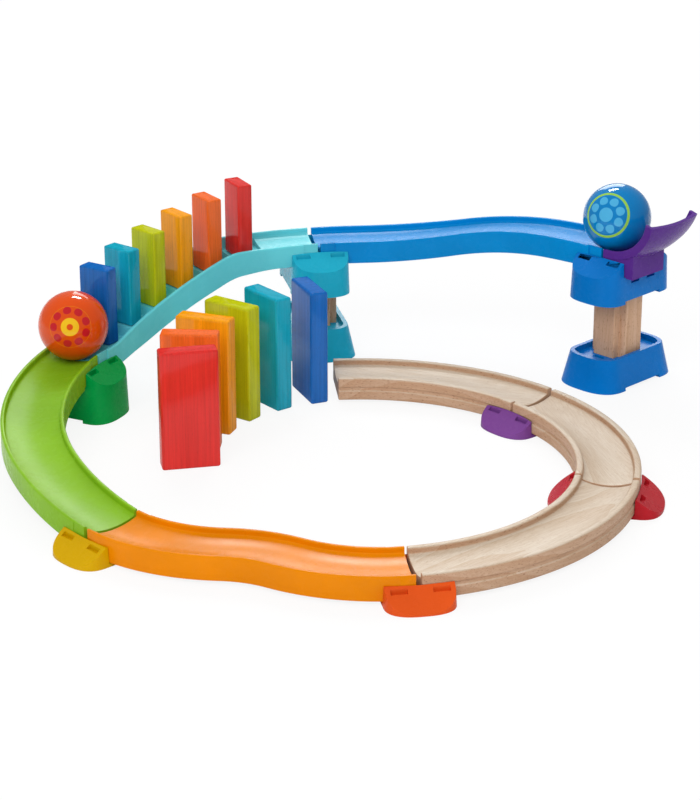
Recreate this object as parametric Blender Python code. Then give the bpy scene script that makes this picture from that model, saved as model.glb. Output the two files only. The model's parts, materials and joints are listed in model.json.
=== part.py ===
"""Ball and domino track toy.

A ball leaves the launch ramp of the start tower, runs along a curved track and
topples the small dominoes on a stair track. The last of them pushes a second ball
down a curve, along a wavy track and round three wooden curves into a row of large
dominoes. All plan positions follow one route that is walked from the start tower.
"""
import math

import bmesh
import bpy
from mathutils import Vector

# Fits, in metres
FIT = 0.0003
SEAM_GAP = 0.0024

# Route in plan: start, heading, and the radius and turn in degrees of each bend
START_X = 0.1789
START_Y = 0.0516
START_HEADING = 135.0
BLUE_RADIUS = 0.2225
BLUE_TURN = 57.0
STAIR_RADIUS = 0.2225
STAIR_TURN = 52.2
LIME_TOP_RADIUS = 0.168
LIME_TOP_TURN = 48.7
LIME_END_RADIUS = 0.253
LIME_END_TURN = 19.8
WAVE_IN_RADIUS = 0.0957
WAVE_IN_TURN = 43.6
WAVE_BACK_RADIUS = 0.0775
WAVE_BACK_TURN = -27.5
WAVE_OUT_RADIUS = 0.0997
WAVE_OUT_TURN = 41.7
WOOD_RADIUS = 0.1484
WOOD_TURNS = (67.5, 54.0, 54.3)

# Height of the rail tops over the floor; the low tracks lie on the connectors' plates
RAIL_START = 0.0939
RAIL_MIDDLE = 0.0795
RAIL_GREEN = 0.0405
LOW_LIFT = 0.0025
BLUE_SLOPE_FROM = 0.066
BLUE_SLOPE_TO = 0.175
BLUE_SLOPE_BLEND = 0.5
STAIR_SLOPE_FROM = 0.060
STAIR_SLOPE_TO = 0.187
STAIR_SLOPE_BLEND = 0.12

# Track sections
TRACK_WIDTH = 0.039
TRACK_HEIGHT = 0.015
PLASTIC_WALL = 0.0027
PLASTIC_FLOOR = 0.0022
PLASTIC_CHANNEL = 0.0034
WOOD_RAIL = 0.0045
WOOD_CHANNEL = 0.0034
FLOOR_SAG = 0.0029
WOOD_SAG = 0.0029
RAIL_ROUND = 0.0010
WOOD_GROOVE_DEPTH = 0.0008
WOOD_GROOVE_HEIGHT = 0.0034
END_PANEL_LENGTH = 0.011
END_PANEL_DEPTH = 0.0006

# Stair track
STEP_COUNT = 6
FIRST_RISER = 0.061
STEP_PITCH = 0.0237
STEP_EDGE = 0.0003
FIRST_TREAD_DEPTH = 0.008
LAST_RISER = 0.0032
STAIR_WALL_EXTRA = 0.003
STAIR_WALL_BLEND = 0.3

# Connectors and saddles
BOSS_DROP = 0.0057
BOSS_SLOPE = 0.72
BOSS_SQUARE = 0.77
BOSS_HALF_LENGTH = 0.0186
BOSS_REACH = 0.0330
BOSS_DRAFT = 0.0016
BOSS_CREST = 0.0002
NOTCH_LENGTH = 0.0096
NOTCH_WIDTH = 0.0028
NOTCH_REAR = 0.0012
NOTCH_DEPTH = 0.0040
NOTCH_SPACING = 0.0236
SHELL_WALL = 0.0026
SADDLE_DEPTH = 0.034
ARCH_HEIGHT = 0.002
ARCH_INSET = 0.002
HOOK_SLOT_LENGTH = 0.0084
HOOK_SLOT_HEIGHT = 0.0050
HOOK_SLOT_SPACING = 0.016

# Tower base and post
BASE_HEIGHT = 0.0220
BASE_HALF_LENGTH = 0.0190
BASE_REACH = 0.0330
BASE_DRAFT = 0.0050
BASE_RIM = 0.0030
BASE_RECESS = 0.0055
BASE_SOLE = 0.0040
LATCH_HOLE_LENGTH = 0.0080
LATCH_HOLE_WIDTH = 0.0028
POST_WIDTH = 0.0278
POST_NOTCH = 0.0055
SLEEVE_WALL = 0.0024

# Launch ramp
RAMP_LEVEL = 0.0040
RAMP_RADIUS = 0.0416
RAMP_TURN = 74.0
RAMP_FLARE = 0.0028
RAMP_BLOCK_FAR = 0.0130
RAMP_BLOCK_THICK = 0.0055
RAMP_BLOCK_DROP = 0.0157
RAMP_BLOCK_BEND = 0.0120
RAMP_BLOCK_RISE = 0.0023
RAMP_BITE = 0.0005

# Balls and dominoes
BALL_DIAMETER = 0.045
BLUE_BALL_SHIFT = 0.004
ORANGE_BALL_SHIFT = -0.0015
SMALL_THICK = 0.0104
SMALL_WIDE = 0.0226
SMALL_TALL = 0.0512
LARGE_THICK = 0.0121
LARGE_WIDE = 0.0362
LARGE_TALL = 0.0764
DOMINO_ROUND = 0.0016
TREAD_MARGIN = 0.0020
ROW_AHEAD = -0.0063
ROW_ASIDE = 0.1056
ROW_RADIUS = 0.1079
ROW_FIRST_ANGLE = 112.1
ROW_PITCH_ANGLE = 16.0

# Mesh fineness
STATION_STEP = 0.0125
FLOOR_POINTS = 8
BOSS_POINTS = 10
TROUGH_STATIONS = 10
RAMP_STATIONS = 10
BALL_SEGMENTS = 26
BALL_RINGS = 14
FACET_ANGLE = 35.0
ROUND_FACET_ANGLE = 60.0

# Surface finish
WOOD_ROUGHNESS = 0.55
GLOSS_ROUGHNESS = 0.35

COLOURS = {
    "blue": (0.0, 0.14, 0.55),
    "sky": (0.0, 0.22, 0.58),
    "teal": (0.06, 0.43, 0.53),
    "green": (0.0, 0.31, 0.08),
    "lime": (0.27, 0.55, 0.045),
    "yellow": (0.62, 0.38, 0.0),
    "orange": (0.87, 0.28, 0.0),
    "coral": (0.75, 0.10, 0.017),
    "red": (0.58, 0.021, 0.032),
    "violet": (0.22, 0.06, 0.37),
    "purple": (0.10, 0.026, 0.26),
    "beech": (0.62, 0.42, 0.25),
    "red_paint": (0.60, 0.017, 0.021),
    "orange_paint": (0.75, 0.13, 0.026),
    "amber_paint": (0.72, 0.26, 0.003),
    "lime_paint": (0.31, 0.43, 0.0),
    "teal_paint": (0.0, 0.26, 0.38),
    "blue_paint": (0.005, 0.10, 0.43),
}
ROW_COLOURS = ("blue", "teal", "lime", "amber", "orange", "red")
STAIR_COLOURS = ("red", "orange", "amber", "lime", "teal", "blue")


def left_of(heading):
    """Unit vector to the left of a heading in plan."""
    return Vector((-math.sin(heading), math.cos(heading)))


class Route:
    """A plan curve of arcs that is read by its arc length."""

    def __init__(self, start, heading, bends):
        self.arcs = []
        point = Vector(start)
        angle = math.radians(heading)
        length = 0.0
        for radius, turn in bends:
            bend = math.copysign(1.0 / radius, turn)
            self.arcs.append((length, point, angle, bend))
            length += radius * math.radians(abs(turn))
            center = point + left_of(angle) / bend
            angle += math.radians(turn)
            point = center - left_of(angle) / bend
        self.length = length

    def pose(self, distance):
        """Point and heading at a distance; the route runs straight before its start."""
        if distance < 0.0:
            _, point, angle, _ = self.arcs[0]
            return point + distance * Vector((math.cos(angle), math.sin(angle))), angle
        begin, point, angle, bend = [arc for arc in self.arcs if arc[0] <= distance][-1]
        heading = angle + bend * (distance - begin)
        return point + (left_of(angle) - left_of(heading)) / bend, heading

    def center(self, distance):
        """Middle of the bend at a distance."""
        _, point, angle, bend = [arc for arc in self.arcs if arc[0] <= distance][-1]
        return point + left_of(angle) / bend

    def at(self, distance, offset, height):
        """World point beside the route: offset to the left and height over the floor."""
        point, heading = self.pose(distance)
        side = point + offset * left_of(heading)
        return Vector((side.x, side.y, height))


def bend_length(bend):
    return bend[0] * math.radians(abs(bend[1]))


WOOD_BENDS = tuple((WOOD_RADIUS, turn) for turn in WOOD_TURNS)
BLUE_BEND = (BLUE_RADIUS, BLUE_TURN)
STAIR_BEND = (STAIR_RADIUS, STAIR_TURN)
LIME_BENDS = ((LIME_TOP_RADIUS, LIME_TOP_TURN), (LIME_END_RADIUS, LIME_END_TURN))
WAVE_IN = (WAVE_IN_RADIUS, WAVE_IN_TURN)
WAVE_BACK = (WAVE_BACK_RADIUS, WAVE_BACK_TURN)
WAVE_OUT = (WAVE_OUT_RADIUS, WAVE_OUT_TURN)
WAVE_BENDS = (WAVE_IN, WAVE_BACK, WAVE_OUT)
BENDS = (BLUE_BEND, STAIR_BEND) + LIME_BENDS + WAVE_BENDS + WOOD_BENDS
ROUTE = Route((START_X, START_Y), START_HEADING, BENDS)
MIDDLE_SEAM = bend_length(BLUE_BEND)
GREEN_SEAM = MIDDLE_SEAM + bend_length(STAIR_BEND)
YELLOW_SEAM = GREEN_SEAM + sum(bend_length(bend) for bend in LIME_BENDS)
CORAL_SEAM = YELLOW_SEAM + sum(bend_length(bend) for bend in WAVE_BENDS)
RED_SEAM = CORAL_SEAM + bend_length(WOOD_BENDS[0])
VIOLET_SEAM = RED_SEAM + bend_length(WOOD_BENDS[1])
PLASTIC_DEPTH = PLASTIC_CHANNEL + FLOOR_SAG
BALL_RADIUS = BALL_DIAMETER / 2.0
TROUGH_HALF = TRACK_WIDTH / 2.0 + FIT
PLATE_UNDER_RAIL = TRACK_HEIGHT + FIT
LOW_RAIL = LOW_LIFT + TRACK_HEIGHT
LOW_SEAMS = (("yellow", YELLOW_SEAM), ("coral", CORAL_SEAM), ("red", RED_SEAM), ("violet", VIOLET_SEAM))


def eased(value, low, high, blend):
    """Share of the way from low to high, with a rounded start and end."""
    share = min(max((value - low) / (high - low), 0.0), 1.0)
    if share < blend:
        return share ** 2 / (2.0 * blend * (1.0 - blend))
    if share > 1.0 - blend:
        return 1.0 - (1.0 - share) ** 2 / (2.0 * blend * (1.0 - blend))
    return (share - blend / 2.0) / (1.0 - blend)


def blue_rail(distance):
    """Rail height of the blue track: level, a soft descent, level."""
    share = eased(distance, BLUE_SLOPE_FROM, BLUE_SLOPE_TO, BLUE_SLOPE_BLEND)
    return RAIL_START + (RAIL_MIDDLE - RAIL_START) * share


def stair_rail(distance):
    """Rail height of the stair track."""
    along = distance - MIDDLE_SEAM
    share = eased(along, STAIR_SLOPE_FROM, STAIR_SLOPE_TO, STAIR_SLOPE_BLEND)
    return RAIL_MIDDLE + (RAIL_GREEN - RAIL_MIDDLE) * share


def lime_fall(point):
    """How far the tilted plane of the lime curve lies under the green seam at a plan point."""
    top, _ = ROUTE.pose(GREEN_SEAM)
    bottom, _ = ROUTE.pose(YELLOW_SEAM)
    chord = bottom - top
    return (RAIL_GREEN - LOW_RAIL) * (point - top).dot(chord) / chord.length_squared


def lime_rail(distance):
    """Rail height of the lime curve, which lies in one tilted plane."""
    point, _ = ROUTE.pose(distance)
    return RAIL_GREEN - lime_fall(point)


def floor_rail(_distance):
    """Rail height of the low tracks."""
    return LOW_RAIL


def make_collection(name):
    collection = bpy.data.collections.new(name)
    bpy.context.scene.collection.children.link(collection)
    return collection


def clear_scene():
    for old in list(bpy.data.objects):
        bpy.data.objects.remove(old, do_unlink=True)


def make_material(name):
    """Principled material in one of the toy's colours."""
    known = bpy.data.materials.get(name)
    if known:
        return known
    material = bpy.data.materials.new(name)
    material.use_nodes = True
    surface = material.node_tree.nodes["Principled BSDF"]
    surface.inputs["Base Color"].default_value = COLOURS[name] + (1.0,)
    surface.inputs["Roughness"].default_value = WOOD_ROUGHNESS if name == "beech" else GLOSS_ROUGHNESS
    surface.inputs["Metallic"].default_value = 0.0
    return material


def mesh_from(bm, name, smooth_angle=FACET_ANGLE):
    """Finish a bmesh as a mesh with outward faces, smooth where it is round."""
    bmesh.ops.recalc_face_normals(bm, faces=bm.faces[:])
    mesh = bpy.data.meshes.new(name)
    bm.to_mesh(mesh)
    bm.free()
    mesh.shade_smooth()
    mesh.set_sharp_from_angle(angle=math.radians(smooth_angle))
    return mesh


def loft(rings):
    """Closed body through rings of equally many points."""
    bm = bmesh.new()
    loops = [[bm.verts.new(point) for point in ring] for ring in rings]
    count = len(rings[0])
    for first, second in zip(loops, loops[1:]):
        for index in range(count):
            following = (index + 1) % count
            bm.faces.new((first[index], first[following], second[following], second[index]))
    bm.faces.new(loops[0][::-1])
    bm.faces.new(loops[-1])
    return bm


def boxes(spans):
    """One bmesh with a box for each pair of corners."""
    bm = bmesh.new()
    for low, high in spans:
        cube = bmesh.ops.create_cube(bm, size=1.0)["verts"]
        size = [top - bottom for bottom, top in zip(low, high)]
        middle = [(top + bottom) / 2.0 for bottom, top in zip(low, high)]
        bmesh.ops.scale(bm, vec=size, verts=cube)
        bmesh.ops.translate(bm, vec=middle, verts=cube)
    return bm


def trim(bm, point, normal):
    """Cut everything on the normal's side off a body and close the cut."""
    everything = bm.verts[:] + bm.edges[:] + bm.faces[:]
    plane = {"plane_co": point, "plane_no": normal}
    cut = bmesh.ops.bisect_plane(bm, geom=everything, clear_outer=True, **plane)
    edges = [item for item in cut["geom_cut"] if isinstance(item, bmesh.types.BMEdge)]
    bmesh.ops.edgeloop_fill(bm, edges=edges)


class Toy:
    """Collections, the root empty and the ways to add parts and cutters."""

    def __init__(self):
        clear_scene()
        self.parts = make_collection("ball_track_toy")
        self.cutters = make_collection("ball_track_cutters")
        self.root = bpy.data.objects.new("ball_track_root", None)
        self.parts.objects.link(self.root)

    def part(self, name, mesh, colour, location=(0.0, 0.0, 0.0), turn=0.0, parent=None):
        piece = bpy.data.objects.new(name, mesh)
        piece.data.materials.clear()
        piece.data.materials.append(make_material(colour))
        piece.location = location
        piece.rotation_euler = (0.0, 0.0, turn)
        piece.parent = parent or self.root
        self.parts.objects.link(piece)
        return piece

    def pivot(self, name, location):
        empty = bpy.data.objects.new(name, None)
        empty.location = location
        empty.parent = self.root
        self.parts.objects.link(empty)
        return empty

    def cutter(self, name, bm, location=(0.0, 0.0, 0.0), turn=0.0):
        tool = bpy.data.objects.new(name, mesh_from(bm, name))
        tool.location = location
        tool.rotation_euler = (0.0, 0.0, turn)
        tool.parent = self.root
        tool.hide_render = True
        tool.display_type = "WIRE"
        self.cutters.objects.link(tool)
        return tool


def shape(piece, tool, operation="DIFFERENCE"):
    """Boolean of a piece with a cutter."""
    modifier = piece.modifiers.new(tool.name, "BOOLEAN")
    modifier.operation = operation
    modifier.solver = "EXACT"
    modifier.object = tool


def rail_side(half, inner, height, groove=0.0, groove_at=0.0):
    """Right wall of a track from its foot over the rail to the channel, as (offset, height)."""
    points = [(half, -height)]
    if groove > 0.0:
        points += [(half, groove_at - WOOD_GROOVE_HEIGHT / 2.0)]
        points += [(half - groove, groove_at - WOOD_GROOVE_HEIGHT / 4.0)]
        points += [(half - groove, groove_at + WOOD_GROOVE_HEIGHT / 4.0)]
        points += [(half, groove_at + WOOD_GROOVE_HEIGHT / 2.0)]
    points += [(half, -RAIL_ROUND), (half - RAIL_ROUND, 0.0)]
    points += [(inner + RAIL_ROUND, 0.0), (inner, -RAIL_ROUND)]
    return points


def sagging(inner, depth, sag, steps):
    """Concave line between two walls, from right to left."""
    offsets = [inner * (1.0 - 2.0 * index / steps) for index in range(steps + 1)]
    return [(offset, -depth - sag * (1.0 - (offset / inner) ** 2)) for offset in offsets]


def mirrored(points):
    return [(-offset, height) for offset, height in reversed(points)]


def shell_section(depth, sag, height, ceiling):
    """Section of a moulded track that is open below, relative to its rail top."""
    half = TRACK_WIDTH / 2.0
    inner = half - PLASTIC_WALL
    wall = rail_side(half, inner, height)
    channel = sagging(inner, depth, sag, FLOOR_POINTS)
    under = sagging(inner, ceiling, sag, FLOOR_POINTS)[::-1]
    return wall + channel + mirrored(wall) + [(-inner, -height)] + under + [(inner, -height)]


def wood_section():
    """Section of a solid wooden track with grooved flanks, relative to its rail top."""
    half = TRACK_WIDTH / 2.0
    inner = half - WOOD_RAIL
    wall = rail_side(half, inner, TRACK_HEIGHT, WOOD_GROOVE_DEPTH, -TRACK_HEIGHT / 2.0)
    return wall + sagging(inner, WOOD_CHANNEL, WOOD_SAG, FLOOR_POINTS) + mirrored(wall)


def stations(begin, end):
    """Evenly spaced distances along the route."""
    count = max(2, math.ceil((end - begin) / STATION_STEP))
    return [begin + (end - begin) * index / count for index in range(count + 1)]


def sweep(distances, rail, section):
    """Body along the route; section gives (offset, height under the rail) at a distance."""
    rings = []
    for distance in distances:
        top = rail(distance)
        rings.append([ROUTE.at(distance, -offset, top + drop) for offset, drop in section(distance)])
    return loft(rings)


def plain_shell(_distance):
    return shell_section(PLASTIC_CHANNEL, FLOOR_SAG, TRACK_HEIGHT, PLASTIC_CHANNEL + PLASTIC_FLOOR)


def plain_wood(_distance):
    return wood_section()


def riser_distances():
    return [MIDDLE_SEAM + FIRST_RISER + STEP_PITCH * index for index in range(STEP_COUNT)]


def tread_heights():
    """Heights of the treads from the top one down, and of the end floor."""
    top = RAIL_MIDDLE - FIRST_TREAD_DEPTH
    bottom = RAIL_GREEN - PLASTIC_DEPTH
    last = bottom + LAST_RISER
    treads = [top + (last - top) * index / (STEP_COUNT - 1) for index in range(STEP_COUNT)]
    return treads + [bottom]


def stair_floor(distance):
    """Height of the channel's edge and its sag at a distance on the stair track."""
    risers = riser_distances()
    if distance < risers[0] - STEP_PITCH:
        return RAIL_MIDDLE - PLASTIC_CHANNEL, FLOOR_SAG
    passed = sum(1 for riser in risers if distance > riser + STEP_EDGE / 2.0)
    if passed == STEP_COUNT:
        return RAIL_GREEN - PLASTIC_CHANNEL, FLOOR_SAG
    return tread_heights()[passed], 0.0


def stair_section(distance):
    """Section of the stair track: flat treads, a shell below that steps down with them."""
    edge, sag = stair_floor(distance)
    below, below_sag = stair_floor(distance + PLASTIC_FLOOR)
    rail = stair_rail(distance)
    along = distance - MIDDLE_SEAM
    deeper = eased(along, STAIR_SLOPE_FROM / 2.0, STAIR_SLOPE_FROM + STEP_PITCH, STAIR_WALL_BLEND)
    shallower = eased(along, STAIR_SLOPE_TO - 2.0 * STEP_PITCH, STAIR_SLOPE_TO, STAIR_WALL_BLEND)
    height = TRACK_HEIGHT + STAIR_WALL_EXTRA * (deeper - shallower)
    under = min(edge - sag, below - below_sag) - PLASTIC_FLOOR
    half = TRACK_WIDTH / 2.0
    inner = half - PLASTIC_WALL
    wall = rail_side(half, inner, height)
    channel = sagging(inner, rail - edge, sag, FLOOR_POINTS)
    ceiling = max(min(rail - under, height - RAIL_ROUND), RAIL_ROUND)
    flat = [(-inner, -height), (-inner, -ceiling), (inner, -ceiling), (inner, -height)]
    return wall + channel + mirrored(wall) + flat


def stair_stations(begin, end):
    """Distances of the stair track's rings: two at each riser and at each step of its shell."""
    entry = riser_distances()[0] - STEP_PITCH
    edges = [entry] + riser_distances()
    marks = set(stations(begin, edges[0] - STATION_STEP / 2.0))
    for edge in edges:
        marks.update((edge - PLASTIC_FLOOR - STEP_EDGE, edge - PLASTIC_FLOOR + STEP_EDGE))
        marks.update((edge, edge + STEP_EDGE))
        marks.add(edge + STEP_PITCH / 2.0)
    marks = {mark for mark in marks if mark < end}
    marks.add(end)
    return sorted(marks)


def seam_panels(toy, name, seam, rail_top):
    """Cutter for the shallow panels in the flanks of both track ends at a seam."""
    point, heading = ROUTE.pose(seam)
    half = TRACK_WIDTH / 2.0
    side = half - END_PANEL_DEPTH
    far = half + TRACK_HEIGHT
    low = -2.0 * TRACK_HEIGHT
    left = ((-END_PANEL_LENGTH, side, low), (END_PANEL_LENGTH, far, TRACK_HEIGHT))
    right = ((-END_PANEL_LENGTH, -far, low), (END_PANEL_LENGTH, -side, TRACK_HEIGHT))
    return toy.cutter(name + "_panels", boxes([left, right]), (point.x, point.y, rail_top), heading)


def seat_tool(toy, name, seam, rail_top):
    """Cutter that levels a falling track's underside where a connector's plate carries it."""
    point, heading = ROUTE.pose(seam)
    reach = BOSS_HALF_LENGTH + BOSS_DRAFT + 2.0 * FIT
    span = ((-reach, -TRACK_WIDTH, -2.0 * TRACK_HEIGHT), (reach, TRACK_WIDTH, -TRACK_HEIGHT))
    return toy.cutter(name + "_seat", boxes([span]), (point.x, point.y, rail_top), heading)


def add_track(toy, name, colour, bm, tools=()):
    """Track that its cutters finish."""
    piece = toy.part(name, mesh_from(bm, name), colour)
    for tool in tools:
        shape(piece, tool)


def add_tracks(toy):
    """The launch side to the free end: four moulded tracks and three wooden curves."""
    gap = SEAM_GAP / 2.0
    start = seam_panels(toy, "start", 0.0, RAIL_START)
    middle = seam_panels(toy, "middle", MIDDLE_SEAM, RAIL_MIDDLE)
    green = seam_panels(toy, "green", GREEN_SEAM, RAIL_GREEN)
    green_seat = seat_tool(toy, "green", GREEN_SEAM, RAIL_GREEN)
    yellow = seam_panels(toy, "yellow", YELLOW_SEAM, LOW_RAIL)
    coral = seam_panels(toy, "coral", CORAL_SEAM, LOW_RAIL)
    blue = sweep(stations(gap, MIDDLE_SEAM - gap), blue_rail, plain_shell)
    add_track(toy, "blue_track", "sky", blue, (start, middle))
    stair = sweep(stair_stations(MIDDLE_SEAM + gap, GREEN_SEAM - gap), stair_rail, stair_section)
    add_track(toy, "stair_track", "teal", stair, (middle, green))
    lime = sweep(stations(GREEN_SEAM + gap, YELLOW_SEAM - gap), lime_rail, plain_shell)
    add_track(toy, "lime_curve", "lime", lime, (green, green_seat, yellow))
    wave = sweep(stations(YELLOW_SEAM + gap, CORAL_SEAM - gap), floor_rail, plain_shell)
    add_track(toy, "wave_track", "orange", wave, (yellow, coral))
    first = sweep(stations(CORAL_SEAM + gap, RED_SEAM - gap), floor_rail, plain_wood)
    add_track(toy, "wood_curve_1", "beech", first)
    second = sweep(stations(RED_SEAM + gap, VIOLET_SEAM - gap), floor_rail, plain_wood)
    add_track(toy, "wood_curve_2", "beech", second)
    third = sweep(stations(VIOLET_SEAM + gap, ROUTE.length), floor_rail, plain_wood)
    add_track(toy, "wood_curve_3", "beech", third)


def half_round(half_length, flank, reach, side=1.0):
    """Plan outline of one half-round end, a little squared, with a straight inner side."""
    points = []
    for index in range(BOSS_POINTS + 1):
        turn = math.pi * index / BOSS_POINTS
        along = math.copysign(abs(math.cos(turn)) ** BOSS_SQUARE, math.cos(turn))
        across = abs(math.sin(turn)) ** BOSS_SQUARE
        points.append((half_length * along, side * (flank + (reach - flank) * across)))
    return points


def rounded_outline(half_length, flank, reach):
    """Plan outline with straight sides and a half-round end at either side of the track."""
    end = half_round(half_length, flank, reach)
    return end + [(-along, -across) for along, across in end]


def prism(lower, upper, bottom, top):
    """Drafted body between two plan outlines."""
    return loft([[Vector((x, y, bottom)) for x, y in lower], [Vector((x, y, top)) for x, y in upper]])


def boss_body(bottom, edge):
    """Connector block with half-round ends, cut level and by the two planes that slope outwards."""
    lower = rounded_outline(BOSS_HALF_LENGTH + BOSS_DRAFT, TROUGH_HALF, BOSS_REACH + BOSS_DRAFT)
    upper = rounded_outline(BOSS_HALF_LENGTH, TROUGH_HALF, BOSS_REACH)
    bm = prism(lower, upper, bottom, edge + BOSS_SLOPE * TROUGH_HALF + SHELL_WALL)
    trim(bm, (0.0, TROUGH_HALF, edge), (0.0, BOSS_SLOPE, 1.0))
    trim(bm, (0.0, -TROUGH_HALF, edge), (0.0, -BOSS_SLOPE, 1.0))
    trim(bm, (0.0, 0.0, edge + BOSS_CREST), (0.0, 0.0, 1.0))
    return bm


def notch_spans(edge):
    """Corners of the four latch notches behind the inner edges of the half-round ends."""
    spans = []
    inside = TROUGH_HALF + NOTCH_REAR
    outside = inside + NOTCH_WIDTH
    for near, far in ((inside, outside), (-outside, -inside)):
        for along in (-NOTCH_SPACING / 2.0, NOTCH_SPACING / 2.0):
            low = (along - NOTCH_LENGTH / 2.0, near, edge - NOTCH_DEPTH)
            high = (along + NOTCH_LENGTH / 2.0, far, edge + NOTCH_DEPTH)
            spans.append((low, high))
    return spans


def trough(seam, rail_top):
    """Cutter that follows both tracks at a seam and leaves the plate under them."""
    reach = BOSS_HALF_LENGTH + BOSS_DRAFT + TROUGH_HALF
    low = rail_top - PLATE_UNDER_RAIL
    high = rail_top + TRACK_HEIGHT
    corners = ((TROUGH_HALF, low), (TROUGH_HALF, high), (-TROUGH_HALF, high), (-TROUGH_HALF, low))
    marks = [seam - reach + 2.0 * reach * index / TROUGH_STATIONS for index in range(TROUGH_STATIONS + 1)]
    return loft([[ROUTE.at(mark, -offset, height) for offset, height in corners] for mark in marks])


def pocket(inner, outer, bottom, top, ceiling_edge, side):
    """Hollow in a half-round end from below, under the sloping face."""
    outline = half_round(BOSS_HALF_LENGTH - SHELL_WALL, inner, outer, side)
    bm = prism(outline, outline, bottom, top)
    trim(bm, (0.0, side * TROUGH_HALF, ceiling_edge), (0.0, side * BOSS_SLOPE, 1.0))
    return bm


def add_connector(toy, name, colour, seam, rail_top, bottom):
    """Connector at a seam: half-round ends, plate, latch notches and hollows."""
    point, heading = ROUTE.pose(seam)
    place = (point.x, point.y, 0.0)
    edge = rail_top - BOSS_DROP
    piece = toy.part(name, mesh_from(boss_body(bottom, edge), name), colour, place, heading)
    shape(piece, toy.cutter(name + "_trough", trough(seam, rail_top)))
    shape(piece, toy.cutter(name + "_notches", boxes(notch_spans(edge)), place, heading))
    inner = TROUGH_HALF + SHELL_WALL
    below = bottom - SHELL_WALL
    for side, label in ((-1.0, "right"), (1.0, "left")):
        hollow = pocket(inner, BOSS_REACH - SHELL_WALL, below, edge, edge - SHELL_WALL, side)
        shape(piece, toy.cutter(f"{name}_hollow_{label}", hollow, place, heading))
    return piece, place, heading


def add_tall_connector(toy, name, colour, seam, rail_top):
    """Connector that lifts a seam over the floor: arched sides and a hollow under its plate."""
    piece, place, heading = add_connector(toy, name, colour, seam, rail_top, 0.0)
    plate_under = rail_top - PLATE_UNDER_RAIL - SHELL_WALL
    long_half = BOSS_HALF_LENGTH - SHELL_WALL
    core = boxes([((-long_half, -TROUGH_HALF, -SHELL_WALL), (long_half, TROUGH_HALF, plate_under))])
    shape(piece, toy.cutter(name + "_core", core, place, heading))
    shape(piece, arch_tool(toy, name, place, heading, 0.0))


def arch_tool(toy, name, place, heading, bottom):
    """Low passage under the straight sides that leaves feet at the half-round ends."""
    long_half = BASE_HALF_LENGTH + BASE_DRAFT + SHELL_WALL
    wide_half = TROUGH_HALF - ARCH_INSET
    low = (-long_half, -wide_half, bottom - ARCH_HEIGHT)
    high = (long_half, wide_half, bottom + ARCH_HEIGHT)
    return toy.cutter(name + "_arch", boxes([(low, high)]), place, heading)


def post_outline(grow):
    """Square post with notched corners, grown by a clearance."""
    outer = POST_WIDTH / 2.0 + grow
    inner = POST_WIDTH / 2.0 - POST_NOTCH + grow
    quarter = [(outer, inner), (inner, inner), (inner, outer)]
    points = []
    for _ in range(4):
        points += quarter
        quarter = [(-y, x) for x, y in quarter]
    return points


def add_tower(toy, name, colour, seam, rail_top):
    """Tower under a seam: base, post and saddle."""
    point, heading = ROUTE.pose(seam)
    place = (point.x, point.y, 0.0)
    saddle_bottom = rail_top - SADDLE_DEPTH
    socket_top = rail_top - PLATE_UNDER_RAIL - SHELL_WALL
    add_base(toy, name, colour, place, heading)
    bottom = BASE_SOLE + FIT
    post = prism(post_outline(0.0), post_outline(0.0), bottom, socket_top - FIT)
    toy.part(name + "_post", mesh_from(post, name + "_post"), "beech", place, heading)
    saddle, _, _ = add_connector(toy, name + "_saddle", colour, seam, rail_top, saddle_bottom)
    socket = prism(post_outline(FIT), post_outline(FIT), saddle_bottom - SHELL_WALL, socket_top)
    shape(saddle, toy.cutter(name + "_saddle_socket", socket, place, heading))
    shape(saddle, arch_tool(toy, name + "_saddle", place, heading, saddle_bottom))
    return saddle, place, heading


def add_base(toy, name, colour, place, heading):
    """Tower base: drafted foot with a sunk top, a socket for the post and hollow ends."""
    lower = rounded_outline(BASE_HALF_LENGTH + BASE_DRAFT, TROUGH_HALF, BASE_REACH + BASE_DRAFT)
    upper = rounded_outline(BASE_HALF_LENGTH, TROUGH_HALF, BASE_REACH)
    body = prism(lower, upper, 0.0, BASE_HEIGHT)
    base = toy.part(name + "_base", mesh_from(body, name + "_base"), colour, place, heading)
    sunk = rounded_outline(BASE_HALF_LENGTH - BASE_RIM, TROUGH_HALF, BASE_REACH - BASE_RIM)
    recess_floor = BASE_HEIGHT - BASE_RECESS
    recess = prism(sunk, sunk, recess_floor, BASE_HEIGHT + BASE_RIM)
    shape(base, toy.cutter(name + "_base_recess", recess, place, heading))
    socket = prism(post_outline(FIT), post_outline(FIT), BASE_SOLE, BASE_HEIGHT)
    shape(base, toy.cutter(name + "_base_socket", socket, place, heading))
    inner = POST_WIDTH / 2.0 + FIT + SLEEVE_WALL
    for side, label in ((-1.0, "right"), (1.0, "left")):
        outline = half_round(BASE_HALF_LENGTH - SLEEVE_WALL, inner, BASE_REACH - SLEEVE_WALL, side)
        hollow = prism(outline, outline, -SLEEVE_WALL, recess_floor - SLEEVE_WALL)
        shape(base, toy.cutter(f"{name}_base_hollow_{label}", hollow, place, heading))
        across = sorted((side * inner, side * (inner + LATCH_HOLE_WIDTH)))
        low = (-LATCH_HOLE_LENGTH / 2.0, across[0], recess_floor - 2.0 * SLEEVE_WALL)
        high = (LATCH_HOLE_LENGTH / 2.0, across[1], recess_floor + SLEEVE_WALL)
        shape(base, toy.cutter(f"{name}_base_latch_{label}", boxes([(low, high)]), place, heading))
    shape(base, arch_tool(toy, name + "_base", place, heading, 0.0))


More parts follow.
